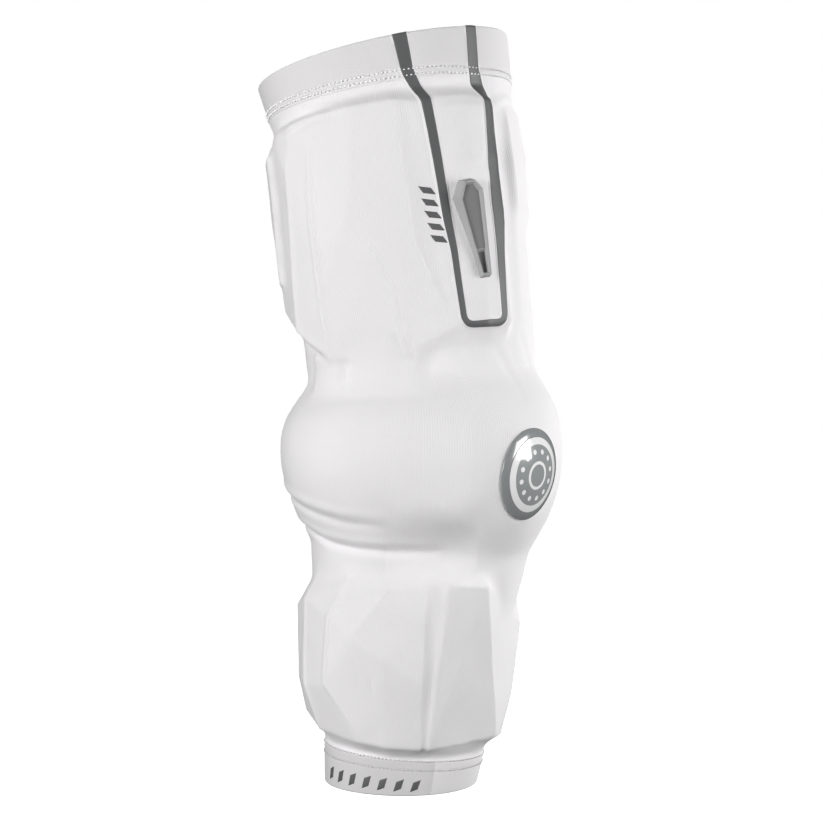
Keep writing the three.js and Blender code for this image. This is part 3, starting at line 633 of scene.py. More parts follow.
def knit_group():
    """Wales and courses of a fine rib knit, so many for each unit of its cloth map."""
    tree, given, result = group_tree(
        "FineKnit",
        (("Cloth", "NodeSocketVector", None), ("Wales", "NodeSocketFloat", 900.0),
         ("Courses", "NodeSocketFloat", 1100.0), ("Fuzz", "NodeSocketFloat", 0.35)),
        (("Height", "NodeSocketFloat"), ("Shade", "NodeSocketFloat")))
    parts = add_node(tree, "ShaderNodeSeparateXYZ", {0: given.outputs["Cloth"]})
    wale = maths(tree, "MULTIPLY", parts.outputs[0], given.outputs["Wales"])
    wale_angle = maths(tree, "MULTIPLY", wale, math.pi)
    rib = maths(tree, "ABSOLUTE", maths(tree, "SINE", wale_angle))
    course = maths(tree, "MULTIPLY", parts.outputs[1], given.outputs["Courses"])
    leaning = maths(tree, "MULTIPLY_ADD", rib, LOOP_LEAN, course)
    loop = maths(tree, "SINE", maths(tree, "MULTIPLY", leaning, 2 * math.pi))
    fuzz = add_node(tree, "ShaderNodeTexNoise", {
        "Vector": given.outputs["Cloth"], "Scale": FUZZ_SCALE, "Detail": 3.0})
    height = maths(tree, "MULTIPLY_ADD", loop, LOOP_HEIGHT, rib)
    fuzzy = maths(tree, "MULTIPLY", fuzz.outputs[0], given.outputs["Fuzz"])
    tree.links.new(maths(tree, "ADD", height, fuzzy), result.inputs["Height"])
    # Painted shade: the valleys between the ribs are darkened in colour
    shade = maths(tree, "MULTIPLY_ADD", rib, RIB_PAINTED_SHADE, 1 - RIB_PAINTED_SHADE)
    tree.links.new(shade, result.inputs["Shade"])
    return tree


def mottle_group():
    """Slow, faint unevenness of colour, from places on the object."""
    tree, given, result = group_tree(
        "Mottle",
        (("Scale", "NodeSocketFloat", 30.0), ("Amount", "NodeSocketFloat", 0.04)),
        (("Shade", "NodeSocketFloat"),))
    place = add_node(tree, "ShaderNodeTexCoord")
    cloud = add_node(tree, "ShaderNodeTexNoise", {
        "Vector": place.outputs["Object"], "Scale": given.outputs["Scale"], "Detail": 4.0, "Roughness": 0.55})
    centred = maths(tree, "SUBTRACT", cloud.outputs[0], 0.5)
    scaled = maths(tree, "MULTIPLY", centred, given.outputs["Amount"])
    tree.links.new(maths(tree, "ADD", scaled, 1.0), result.inputs["Shade"])
    return tree


def grain_group():
    """Fine grain of moulded rubber and print, from places on the object."""
    tree, given, result = group_tree(
        "Grain",
        (("Scale", "NodeSocketFloat", 900.0), ("Base", "NodeSocketFloat", 0.5),
         ("Spread", "NodeSocketFloat", 0.2)),
        (("Height", "NodeSocketFloat"), ("Roughness", "NodeSocketFloat")))
    place = add_node(tree, "ShaderNodeTexCoord")
    fine, slow = (add_node(tree, "ShaderNodeTexNoise", {
        "Vector": place.outputs["Object"], "Scale": scale, "Detail": detail})
        for scale, detail in ((given.outputs["Scale"], 5.0), (60.0, 3.0)))
    tree.links.new(fine.outputs[0], result.inputs["Height"])
    centred = maths(tree, "SUBTRACT", slow.outputs[0], 0.5)
    change = maths(tree, "MULTIPLY", centred, given.outputs["Spread"])
    tree.links.new(maths(tree, "ADD", change, given.outputs["Base"]), result.inputs["Roughness"])
    return tree


GROUPS = {}


def placed_group(tree, name, inputs):
    """A node that uses one of the shared groups, which are made on first use."""
    if not GROUPS:
        GROUPS.update(knit=knit_group(), mottle=mottle_group(), grain=grain_group())
    return add_node(tree, "ShaderNodeGroup", inputs, node_tree=GROUPS[name])


def mottled(tree, scale, amount):
    """A slow shade that darkens and lightens a colour by an amount."""
    return placed_group(tree, "mottle", {"Scale": scale, "Amount": amount}).outputs["Shade"]


def shaded(tree, base, *shades):
    """A colour darkened by one or more masks."""
    factor = shades[0]
    for shade in shades[1:]:
        factor = maths(tree, "MULTIPLY", factor, shade)
    scale = add_node(tree, "ShaderNodeVectorMath", {0: base[:3], "Scale": factor}, operation="SCALE")
    return scale.outputs[0]


def mixed(tree, share, first, second):
    """The first colour where the share is 0, and the second where it is 1."""
    pick = add_node(tree, "ShaderNodeMix", {"Factor": share, 6: first, 7: second}, data_type="RGBA")
    return pick.outputs[2]


def map_parts(tree, name="cloth"):
    """The two places that a map gives, as sockets."""
    place = add_node(tree, "ShaderNodeUVMap", uv_map=name)
    parts = add_node(tree, "ShaderNodeSeparateXYZ", {0: place.outputs[0]})
    return parts.outputs[0], parts.outputs[1]


def add_bump(tree, shader, group, depth, strength):
    """A bump from a group's height, with its depth in metres."""
    bump = add_node(tree, "ShaderNodeBump", {
        "Strength": strength, "Distance": depth, "Height": group.outputs["Height"]})
    tree.links.new(bump.outputs[0], shader.inputs["Normal"])


# Knitted faces: wales and courses for each unit of the cloth map, depth in metres and fuzz
KNITS = {
    "knit": (360.0, 900.0, 0.00016, 0.35),
    "foam_face": (2400.0, 700.0, 0.0002, 0.6),
    "elastic": (420.0, 1300.0, 0.00012, 0.5),
    "elastic_panels_painted_light": (420.0, 1300.0, 0.00012, 0.5),
}

# Grained faces: roughness, its spread, scale of the grain, its depth in metres and its strength
GRAINS = {
    "thread": (0.6, 0.2, 2500.0, 0.0001, 0.4),
    "shaded_thread": (0.7, 0.2, 2500.0, 0.0001, 0.4),
    "bar_print": (0.5, 0.15, 1500.0, 0.00005, 0.4),
    "print": (0.5, 0.15, 1500.0, 0.00006, 0.3),
    "rubber": (0.62, 0.2, 1100.0, 0.00006, 0.4),
    "badge_ring": (0.22, 0.08, 700.0, 0, 0),
    "badge_dome": (0.16, 0.06, 300.0, 0, 0),
}


def add_grain(tree, shader, name):
    """Uneven roughness and, where the grain has a depth, a fine bump."""
    roughness, spread, scale, depth, strength = GRAINS[name]
    noise = placed_group(tree, "grain", {"Scale": scale, "Base": roughness, "Spread": spread})
    tree.links.new(noise.outputs["Roughness"], shader.inputs["Roughness"])
    if depth:
        add_bump(tree, shader, noise, depth, strength)


def knit_material(name, base, panel_painted_light=None):
    """Fine knit with ribs, loops, painted shade between the ribs and a faint change of colour, and past a
    seam where told, panel tones that are partly painted shade and light.
    """
    wales, courses, depth, fuzz = KNITS[name]
    material, tree, shader = new_material(name)
    cloth = add_node(tree, "ShaderNodeUVMap", uv_map="cloth")
    knit = placed_group(tree, "knit", {
        "Cloth": cloth.outputs[0], "Wales": wales, "Courses": courses, "Fuzz": fuzz})
    shades = [knit.outputs["Shade"], mottled(tree, scale=26.0, amount=0.05)]
    # Darker and lighter either side of a seam: partly painted shade and painted light
    if panel_painted_light:
        seam, first, second = panel_painted_light
        past = maths(tree, "GREATER_THAN", map_parts(tree)[0], seam)
        shades.append(maths(tree, "MULTIPLY_ADD", past, second - first, first))
    tree.links.new(shaded(tree, base, *shades), shader.inputs["Base Color"])
    add_bump(tree, shader, knit, depth, strength=0.45)
    shader.inputs["Roughness"].default_value = 0.88
    shader.inputs["Specular IOR Level"].default_value = 0.3
    shader.inputs["Sheen Weight"].default_value = 0.25
    shader.inputs["Sheen Roughness"].default_value = 0.5
    return material


def plain_material(name, base, shine=0.5, painted_shade=None):
    """Moulded or printed surface with a fine grain, and painted shade where its shade map says so."""
    material, tree, shader = new_material(name)
    shades = [mottled(tree, scale=90.0, amount=0.12)]
    # Painted shade: darker where the map marks it
    if painted_shade:
        map_name, share = painted_shade
        masked, _ = map_parts(tree, map_name)
        shades.append(maths(tree, "MULTIPLY_ADD", masked, share - 1, 1.0))
    tree.links.new(shaded(tree, base, *shades), shader.inputs["Base Color"])
    add_grain(tree, shader, name)
    shader.inputs["Specular IOR Level"].default_value = shine
    return material


def finish(obj, material, *replaced):
    """Gives a piece its material and body, and hides the CAD nodes that it stands for."""
    obj.data.materials.clear()
    obj.data.materials.append(material)
    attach(obj, "root")
    if replaced:
        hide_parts(*replaced)
    return obj


# The skin: its height under the cuffs and where that starts from their edges, how far it tucks
# below them and at what height, the calm copy's rounds of smoothing, and the coarse inner face
CUFF_LIFT, CUFF_EDGE = 0.95, (0.2, 1.6)
TUCK, TUCK_LIFT = 2.4, -0.1
CALM_ROUNDS = 30
INNER_STEP = 3

FOAM_NODES = ("upper_arm_pad", "strip_pad", "upper_rear_pad", "upper_front_pad", "forearm_pad",
              "forearm_side_pad", "elbow_cap")


def lowest_near(lifts):
    """The lowest of each place and its neighbours, which keeps the inner face within the outer one."""
    low = np.min([np.roll(lifts, shift, 1) for shift in (-1, 0, 1)], axis=0)
    padded = np.vstack([low[:1], low, low[-1:]])
    return np.minimum(np.minimum(padded[:-2], padded[2:]), low)


def wall_faces(rows, columns):
    """Faces of a closed wall round the arm: a fine outer grid, a coarse inner one and both ends."""
    few, short = columns // INNER_STEP, (rows - 1) // INNER_STEP + 1
    inner, last = rows * columns, (rows - 1) * columns
    faces = ring_faces(rows, columns) + ring_faces(short, few, inner, inward=True)
    for cell in range(few):
        span = [(cell * INNER_STEP + k) % columns for k in range(INNER_STEP + 1)]
        top = [inner + cell, inner + (cell + 1) % few]
        low = [index + (short - 1) * few for index in top]
        faces.append(span + top[::-1])
        faces.append([last + index for index in span[::-1]] + low)
    return faces


def round_map(columns, lengths):
    """A map for a grid round the arm: the share of the way round, and a length for each row."""
    return np.stack([np.tile(np.arange(columns) / columns, len(lengths)), np.repeat(lengths, columns)], -1)


def wrap_map(obj):
    """Carries the cloth map past its seam, so that no face runs back across it."""
    layer = obj.data.uv_layers["cloth"].data
    values = np.zeros(len(layer) * 2, np.float32)
    layer.foreach_get("uv", values)
    values = values.reshape(-1, 2)
    totals = np.zeros(len(obj.data.polygons), np.int32)
    obj.data.polygons.foreach_get("loop_total", totals)
    owner = np.repeat(np.arange(len(totals)), totals)
    widest = np.zeros(len(totals))
    np.maximum.at(widest, owner, values[:, 0])
    values[:, 0] += (widest[owner] - values[:, 0]) > 0.5
    layer.foreach_set("uv", values.ravel())


class ARMPAD_OT_skin(bpy.types.Operator):
    """Draws the stretch knit over the pads as one closed cloth wall"""
    bl_idname = "armpad.skin"
    bl_label = "Knit skin"

    def execute(self, context):
        knit = context.scene.armpad_knit
        lifts = knit_lifts(knit)
        upper, lower = station("upper_arm", 0), station("forearm", 1)
        near, far = CUFF_EDGE
        cuffs = 1 - between((upper + near, upper + far, lower - far, lower - near), STATIONS)[:, None]
        shaped["outer"] = ClothGrid(TURNS, STATIONS, lifts * (1 - cuffs) + CUFF_LIFT * cuffs)
        shaped["calm"] = ClothGrid(TURNS, STATIONS, blur(lifts, CALM_ROUNDS))
        rows = np.flatnonzero((STATIONS > upper - TUCK) & (STATIONS < lower + TUCK))
        rows = rows[:len(rows) - (len(rows) - 1) % INNER_STEP]
        stations, lifts = STATIONS[rows], lifts[rows]
        lifts[(stations < upper) | (stations > lower)] = TUCK_LIFT
        outer = ClothGrid(TURNS, stations, lifts)
        inner = ClothGrid(TURNS, stations, lowest_near(lifts))
        inside = (inner.points - inner.normals * knit.thickness / MM)[::INNER_STEP, ::INNER_STEP]
        points = np.concatenate([outer.points.reshape(-1, 3), inside.reshape(-1, 3)])
        places = [round_map(COLUMNS, stations * MM), round_map(inside.shape[1], stations[::INNER_STEP] * MM)]
        faces = wall_faces(len(stations), COLUMNS)
        obj = new_object("knit_skin", points, faces, np.concatenate(places))
        wrap_map(obj)
        finish(obj, knit_material("knit", knit.colour), "sleeve")
        return {"FINISHED"}


def make_active(obj):
    """Selects one object alone."""
    bpy.ops.object.select_all(action="DESELECT")
    obj.select_set(True)
    bpy.context.view_layer.objects.active = obj


def apply_modifiers(obj):
    """Applies an object's modifiers in their order."""
    make_active(obj)
    for modifier in list(obj.modifiers):
        bpy.ops.object.modifier_apply(modifier=modifier.name)


def vertex_places(obj):
    """Places of an object's vertices in millimetres."""
    places = np.zeros(len(obj.data.vertices) * 3)
    obj.data.vertices.foreach_get("co", places)
    return places.reshape(-1, 3) / MM


def place_vertices(obj, places):
    """Moves an object's vertices to places in millimetres."""
    for vertex, place in zip(obj.data.vertices, places):
        vertex.co = Vector(place) * MM


# The foams: size of their even mesh in metres, the strength and rounds of its smoothing, and colour
FOAM_MESH = 0.0022
FOAM_SMOOTHING, FOAM_ROUNDS = 0.5, 4
FOAM_COLOUR = (0.78, 0.775, 0.79)

# Their map: its axis as a share of a block's mean place, and metres for each radian round it
FOAM_AXIS, FOAM_MAP_RADIUS = 0.3, 0.06


def turn_map(obj):
    """Gives a foam block a cloth map by its turn round the arm and its height."""
    x, y, z = vertex_places(obj).T
    angle = np.arctan2(x - x.mean() * FOAM_AXIS, -y)
    write_map(obj.data, np.stack([angle * FOAM_MAP_RADIUS, z * MM], -1))


class ARMPAD_OT_foams(bpy.types.Operator):
    """Makes each foam pad as a soft, knit-faced block in its pocket"""
    bl_idname = "armpad.foams"
    bl_label = "Foam pads"

    def execute(self, context):
        material = knit_material("foam_face", FOAM_COLOUR)
        for node in FOAM_NODES:
            obj = bpy.data.objects.new(node + "_foam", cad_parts[node].data.copy())
            context.scene.collection.objects.link(obj)
            remesh = obj.modifiers.new("even", "REMESH")
            remesh.mode = "VOXEL"
            remesh.voxel_size = FOAM_MESH
            soften = obj.modifiers.new("soften", "SMOOTH")
            soften.factor, soften.iterations = FOAM_SMOOTHING, FOAM_ROUNDS
            apply_modifiers(obj)
            obj.data.shade_smooth()
            turn_map(obj)
            finish(obj, material, node)
        return {"FINISHED"}


# The cuffs: millimetres that each band reaches past both ends of its zone, its thickness, and how
# far its outer layer swells
UPPER_BAND = (0.4, 0.5, 0.85, 0.25)
LOWER_BAND = (0.8, 0.3, 0.8, 0.2)

# A folded strip: half the gap between its layers, the share of its length that the fold takes, and
# the points along each layer and round the fold
LAYER_GAP, FOLD_SHARE = 0.08, 0.06
LAYER_POINTS, FOLD_POINTS = 56, 7

# The groove under a seam: depth, width, and the share of the band's height above which it lies
GROOVE_DEPTH, GROOVE_WIDTH, GROOVE_ABOVE = 0.34, 0.6, 0.6

# The upper cuff's first seam, a little lower at the front of the arm: turn and station; then the
# way from there to its second one
UPPER_SEAM = ((-180, 17.6), (-60, 16.6), (20, 17.2), (46, 19.2), (81, 19.4), (120, 18.2), (180, 17.6))
UPPER_SEAM_GAP = 2.9

# The lower cuff's seams, from its start; the turns of the seam that joins its panels, and the
# panels' brightness, partly painted: shade under the pad on the left panel, light on the right one
LOWER_SEAMS = (-1.2, 3.6)
JOIN_TURNS = (22, 22.4)
PANEL_SHADE_AND_LIGHT = (0.93, 1.12)

# Stitches: way from one to the next, length, width and height above the knit in millimetres
UPPER_STITCH = (2.2, 1.5, 0.9, 0.26)
LOWER_STITCH = (2.0, 1.35, 0.75, 0.22)
JOIN_STITCH = (1.6, 1.1, 0.4, 0.08)
STITCH_DIP = 0.25
SEAM_TURNS = range(-180, 181, 4)
ROUTE_POINTS = 1200


def sweep_round(name, profile, seams):
    """A closed band round the arm from a closed profile, with a groove under each seam."""
    rows = len(profile)
    stations = profile[:, 1][:, None]
    base, out = arm_frame(TURNS[None, :], stations)
    heights = np.repeat(profile[:, :1], COLUMNS, 1)
    outside = profile[:, 0] > GROOVE_ABOVE * profile[:, 0].max()
    for seam in seams:
        middle = np.array([seam(turn) for turn in TURNS])[None, :]
        dip = GROOVE_DEPTH * np.exp(-((stations - middle) / GROOVE_WIDTH) ** 2)
        heights -= dip * outside[:, None]
    points = base + out * heights[..., None]
    # One row more than the profile has, whose places are those of its first row
    faces = np.array(ring_faces(rows + 1, COLUMNS)) % (rows * COLUMNS)
    run = np.concatenate([[0], np.cumsum(np.hypot(*np.diff(profile, axis=0).T))]) * MM
    obj = new_object(name, points.reshape(-1, 3), faces.tolist(), round_map(COLUMNS, run))
    wrap_map(obj)
    return obj


def folded_profile(start, end, fold_at_start, thickness, swell):
    """A strip folded over an edge, as a closed profile of height and station."""
    half = thickness / 2
    apart = half + LAYER_GAP
    length = end - start
    shares = np.linspace(1, FOLD_SHARE, LAYER_POINTS)
    outer = [(apart + swell * 4 * share * (1 - share), start + share * length) for share in shares]
    inner = [(-apart, start + share * length) for share in shares]
    fold = [(apart * math.cos(angle), start + FOLD_SHARE * length - apart * math.sin(angle))
            for angle in np.linspace(0, math.pi, FOLD_POINTS)[1:-1]]
    path = np.array(outer + fold + inner[::-1])
    if not fold_at_start:
        path[:, 1] = start + end - path[:, 1]
        path = path[::-1]
    step = np.gradient(path, axis=0)
    across = unit(np.stack([step[:, 1], -step[:, 0]], -1))
    return np.concatenate([path - across * half, (path + across * half)[::-1]])


def thread_template():
    """A ball's points and faces, which each stitch stretches into a short thread."""
    bpy.ops.object.select_all(action="DESELECT")
    bpy.ops.mesh.primitive_uv_sphere_add(segments=8, ring_count=6, radius=1)
    ball = bpy.context.object
    co = np.array([v.co for v in ball.data.vertices])
    faces = [list(p.vertices) for p in ball.data.polygons]
    bpy.data.objects.remove(ball)
    return co, faces


def stitch_rows(name, rows, material):
    """Rows of stitches on the sleeve, each a thread that dives at both ends: a path and their sizes."""
    outer = shaped["outer"]
    co, faces = thread_template()
    points, all_faces = [], []
    for path, (pitch, length, width, lift) in rows:
        known, dense = np.linspace(0, 1, len(path)), np.linspace(0, 1, ROUTE_POINTS)
        turn, s = (np.interp(dense, known, values) for values in zip(*path))
        steps = np.linalg.norm(np.diff(outer.at(turn, s), axis=0), axis=1)
        run = np.concatenate([[0], np.cumsum(steps)])
        for k in range(int(run[-1] / pitch)):
            ends = (k + 0.5) * pitch + np.array([-0.5, 0.5]) * length
            t, z = np.interp(ends, run, turn), np.interp(ends, run, s)
            a, b = outer.at(t, z, lift)
            normal = unit(outer.at(t.mean(), z.mean(), 1) - outer.at(t.mean(), z.mean()))
            x_axis = (b - a) / 2
            y_axis = np.cross(normal, unit(x_axis)) * width / 2
            z_axis = normal * width / 2
            start = sum(len(p) for p in points)
            points.append((a + b) / 2 + co[:, [2]] * x_axis + co[:, [0]] * y_axis + co[:, [1]] * z_axis
                          - normal * STITCH_DIP * co[:, [2]] ** 2)
            all_faces += [[start + i for i in face] for face in faces]
    return finish(new_object(name, np.concatenate(points), all_faces), material)


def upper_seam_station(turn):
    """Where the upper cuff's first seam lies."""
    return float(np.interp((turn + 180) % 360 - 180, *zip(*UPPER_SEAM)))


class ARMPAD_OT_cuffs(bpy.types.Operator):
    """Makes the folded elastic cuffs and their double rows of stitches"""
    bl_idname = "armpad.cuffs"
    bl_label = "Cuffs and stitching"

    def execute(self, context):
        trim = context.scene.armpad_trim
        upper_end, lower_start = station("upper_cuff", 1), station("lower_cuff", 0)
        seams = (upper_seam_station, lambda turn: upper_seam_station(turn) + UPPER_SEAM_GAP)
        above, below, thickness, swell = UPPER_BAND
        upper = sweep_round("upper_band", folded_profile(-above, upper_end + below, True, thickness, swell),
                            seams)
        finish(upper, knit_material("elastic", trim.elastic_colour), "upper_cuff")
        rows = [([(turn, seam(turn)) for turn in SEAM_TURNS], UPPER_STITCH) for seam in seams]
        upper_stitches = stitch_rows("upper_stitching", rows, plain_material("thread", trim.thread_colour))
        seams = [lambda turn, place=lower_start + way: place for way in LOWER_SEAMS]
        above, below, thickness, swell = LOWER_BAND
        lower = sweep_round("lower_band", folded_profile(
            lower_start - above, SLEEVE_END + below, False, thickness, swell), seams)
        # Two panels at a seam, whose tones are partly painted shade on the left and painted light on the
        # right
        panel_painted_light = ((JOIN_TURNS[0] + 180) / 360, *PANEL_SHADE_AND_LIGHT)
        finish(lower, knit_material("elastic_panels_painted_light", trim.elastic_colour, panel_painted_light), "lower_cuff")
        rows = [([(turn, seam(turn)) for turn in SEAM_TURNS], LOWER_STITCH) for seam in seams]
        rows.append((list(zip(JOIN_TURNS, (lower_start, SLEEVE_END - 0.5))), JOIN_STITCH))
        # Darker thread on the lower cuff: painted shade between the stitches
        thread = plain_material("shaded_thread", trim.lower_thread_painted_shade)
        lower_stitches = stitch_rows("lower_stitching", rows, thread)
        return {"FINISHED"}


# The stripe's middle line: turn, zone, along, width in millimetres and whether the corner is round
STRIPE_PATH = (
    (8.0, "upper_cuff", 0.0, 6.5, False),
    (8.6, "upper_cuff", 0.85, 5.6, False),
    (13.5, "upper_arm", 0.08, 4.4, False),
    (16.7, "upper_arm", 0.5, 3.6, False),
    (18.2, "upper_arm", 0.6, 3.0, False),
    (19.8, "upper_arm", 0.865, 2.8, True),
    (40.6, "upper_arm", 0.865, 3.5, True),
    (41.6, "upper_arm", 0.6, 5.0, False),
    (42.0, "upper_arm", 0.46, 7.8, False),
    (43.0, "upper_arm", 0.28, 8.8, False),
    (45.0, "upper_arm", 0.1, 8.4, False),
    (41.5, "upper_cuff", 0.95, 6.3, False),
    (43.0, "upper_cuff", 0.0, 6.3, False),
)
# Its step in millimetres, how far a round corner and a slight bend reach, and steps round each
STRIPE_STEP = 1.0
STRIPE_CORNER, STRIPE_BEND = 5.0, 2.5
BEND_STEPS = 8

# Across the film: share of the half width, margin in millimetres and height, over and then under
STRIPE_SECTION = (
    (-1, -1.0, 0.02), (-1, -0.8, 0.14), (-1, -0.25, 0.16), (-1, -0.08, 0.2), (-1, 0, 0.42),
    (-0.86, 0, 0.5), (-0.5, 0, 0.5), (0, 0, 0.5), (0.5, 0, 0.5), (0.86, 0, 0.5),
    (1, 0, 0.42), (1, 0.08, 0.2), (1, 0.25, 0.16), (1, 0.8, 0.14), (1, 1.0, 0.02),
    (1, 0.9, -0.25), (0, 0, -0.25), (-1, -0.9, -0.25),
)
# Share of its map's width that the grey print takes, and where the map tells it from the margins
PRINT_SHARE, PRINT_EDGE = 0.9, 0.47


def towards(corner, other, reach):
    """A place from a corner towards another one, at most half way."""
    return corner + (other - corner) * min(reach / np.linalg.norm((other - corner)[:2]), 0.5)


def stripe_line():
    """Evenly spaced points of the stripe's line: x round the arm, station, half width."""
    flat = np.array([(turn * PER_TURN, station(zone, along), width / 2)
                     for turn, zone, along, width, _ in STRIPE_PATH])
    line = [flat[0]]
    for corner, after, row in zip(flat[1:-1], flat[2:], STRIPE_PATH[1:-1]):
        reach = STRIPE_CORNER if row[4] else STRIPE_BEND
        start, end = towards(corner, line[-1], reach), towards(corner, after, reach)
        line.append(start)
        for t in np.linspace(0, 1, BEND_STEPS + 1)[1:]:
            line.append((1 - t) ** 2 * start + 2 * t * (1 - t) * corner + t * t * end)
    line = np.array([*line, flat[-1]])
    run = np.concatenate([[0], np.cumsum(np.linalg.norm(np.diff(line[:, :2], axis=0), axis=1))])
    even = np.linspace(0, run[-1], int(run[-1] / STRIPE_STEP))
    return np.stack([np.interp(even, run, line[:, k]) for k in range(3)], -1)


def stripe_material(trim, knit):
    """Grey print between two pale margins of its carrier film."""
    material, tree, shader = new_material("print")
    across, _ = map_parts(tree)
    off = maths(tree, "ABSOLUTE", maths(tree, "SUBTRACT", across, 0.5))
    margin = maths(tree, "GREATER_THAN", off, PRINT_EDGE)
    grey = shaded(tree, trim.print_colour, mottled(tree, scale=120.0, amount=0.1))
    pale = colour(knit.colour, share=0.96)
    tree.links.new(mixed(tree, margin, grey, pale), shader.inputs["Base Color"])
    add_grain(tree, shader, "print")
    return material


class ARMPAD_OT_stripe(bpy.types.Operator):
    """Lays the printed stripe on the knit, with its clear margin"""
    bl_idname = "armpad.stripe"
    bl_label = "Side stripe"

    def execute(self, context):
        line = stripe_line()
        step = np.gradient(line[:, :2], axis=0)
        side = unit(np.stack([step[:, 1], -step[:, 0]], -1))
        ring, marks = [], []
        for share, margin, height in STRIPE_SECTION:
            reach = share * line[:, 2] + margin
            x, s = (line[:, k] + side[:, k] * reach for k in (0, 1))
            ring.append(shaped["outer"].at(x / PER_TURN, s, height))
            marks.append(0.5 + 0.5 * (math.copysign(1, share) if margin else share * PRINT_SHARE))
        ring = np.stack(ring, 1)
        count, around = ring.shape[:2]
        faces = ring_faces(count, around)
        faces.append(list(range(around)))
        faces.append(list(range((count - 1) * around, count * around))[::-1])
        length = np.arange(count) * STRIPE_STEP * MM
        uv = np.stack([np.tile(marks, count), np.repeat(length, around)], -1)
        obj = new_object("stripe_film", ring.reshape(-1, 3), faces, uv)
        finish(obj, stripe_material(context.scene.armpad_trim, context.scene.armpad_knit), "side_stripe")
        return {"FINISHED"}


# Plain slanted bars of print: turn and station of the first, step to the next, count, size, slant
MARKS = (
    (9.6, 76.5, 0.75, 5.9, 5, 5.4, 3.4, 0.35),
    (-62.0, 367.6, 12.0, 0.15, 7, 5.6, 5.0, -0.3),
)
# A bar's points across and down, and the heights of its edge, its top and its underside
BAR_POINTS = (9, 7)
BAR_EDGE, BAR_TOP, BAR_UNDER = 0.14, 0.24, -0.2


class ARMPAD_OT_marks(bpy.types.Operator):
    """Lays rows of plain printed bars beside the stripe and on the lower cuff"""
    bl_idname = "armpad.marks"
    bl_label = "Printed bars"

    def execute(self, context):
        wide, tall = BAR_POINTS
        across, down = np.meshgrid(np.linspace(-0.5, 0.5, wide), np.linspace(-0.5, 0.5, tall))
        heights = np.where(np.maximum(np.abs(across), np.abs(down)) == 0.5, BAR_EDGE, BAR_TOP)
        index = np.arange(wide * tall).reshape(tall, wide)
        here = index[:-1, :-1].ravel()
        quads = np.stack([here, here + wide, here + wide + 1, here + 1], -1)
        rim = np.concatenate([index[0], index[1:, -1], index[-1, -2::-1], index[-2:0:-1, 0]])
        beside = np.roll(rim, -1)
        walls = np.stack([rim, beside, beside + wide * tall, rim + wide * tall], -1)
        closed = np.concatenate([quads, quads[:, ::-1] + wide * tall, walls])
        points, faces = [], []
        for turn, s, turn_step, s_step, count, width, height, slant in MARKS:
            for k in range(count):
                at_s = s + k * s_step + down * height + slant * across * height
                at_turn = turn + k * turn_step + (across * width + slant * down * width) / PER_TURN
                faces += (closed + sum(len(p) for p in points)).tolist()
                points += [shaped["outer"].at(at_turn, at_s, lift).reshape(-1, 3)
                           for lift in (heights, BAR_UNDER)]
        obj = new_object("printed_bars", np.concatenate(points), faces)
        finish(obj, plain_material("bar_print", context.scene.armpad_trim.print_colour))
        return {"FINISHED"}


def pick_faces(obj, wanted=lambda face: True):
    """Opens one object in edit mode with the wanted faces selected."""
    make_active(obj)
    bpy.ops.object.mode_set(mode="EDIT")
    bpy.ops.mesh.select_mode(type="FACE")
    bpy.ops.mesh.select_all(action="DESELECT")
    bpy.ops.object.mode_set(mode="OBJECT")
    for face in obj.data.polygons:
        face.select = wanted(face)
    bpy.ops.object.mode_set(mode="EDIT")


def push_faces(height, draft):
    """Extrudes the picked faces by millimetres, and draws them in by a share across and along."""
    bpy.ops.mesh.extrude_region_move(TRANSFORM_OT_translate={"value": (0, 0, height * MM)})
    bpy.ops.transform.resize(value=(*draft, 1), center_override=(0, 0, 0))


def round_edges(obj, width, degrees):
    """Rounds the edges that are sharper than an angle, with a width in millimetres."""
    bevel = obj.modifiers.new("edges", "BEVEL")
    bevel.width = width * MM
    bevel.segments = 3
    bevel.angle_limit = math.radians(degrees)
    apply_modifiers(obj)


def close_surface(obj, degrees):
    """Turns every face outward and smooths the edges that are blunter than an angle."""
    pick_faces(obj)
    bpy.ops.mesh.normals_make_consistent(inside=False)
    bpy.ops.object.mode_set(mode="OBJECT")
    bpy.ops.object.shade_smooth_by_angle(angle=math.radians(degrees))


# A face is level where at least this share of its normal points up or down, and places that differ
# by less than this have one height
LEVEL, SAME = 0.9, 0.05

# The tab's outline from above: across and along as shares of its width and length
TAB_OUTLINE = ((-0.2, 0.5), (0.24, 0.5), (0.5, 0.4), (0.5, 0.33), (0.3, -0.5), (-0.08, -0.5), (-0.5, 0.33))
TAB_WIDTH, TAB_LENGTH = 15.5, 49.0
TAB_TURN, TAB_STATION, TAB_ROLL = 27.5, station("upper_arm", 0.54), 6

# Its underside and top, how much narrower and shorter the top is, the width of its rim, the width
# of its rounded edges and the angle above which an edge is rounded, and where its shading is smooth
TAB_UNDER, TAB_TOP = -1.5, 4.8
TAB_DRAFT = (0.83, 0.94)
TAB_RIM, TAB_EDGE, TAB_SMOOTH = 0.8, (0.32, 20), 28

# Its tray's depth and draft, how much darker it is painted as the shade of its recess, and how far above
# its floor; its slot's two edges along and its depth; and the foot's thickness as a share of the head's
TRAY_DEPTH, TRAY_DRAFT, TRAY_PAINTED_SHADE, TRAY_MARGIN = 1.6, (0.84, 0.965), 0.52, 0.5
SLOT_EDGES, SLOT_DEPTH = (-0.2, -0.24), 1.9
FOOT_SHARE = 0.62

# How far up and down the sleeve its direction is taken at a place
FRAME_REACH = 5


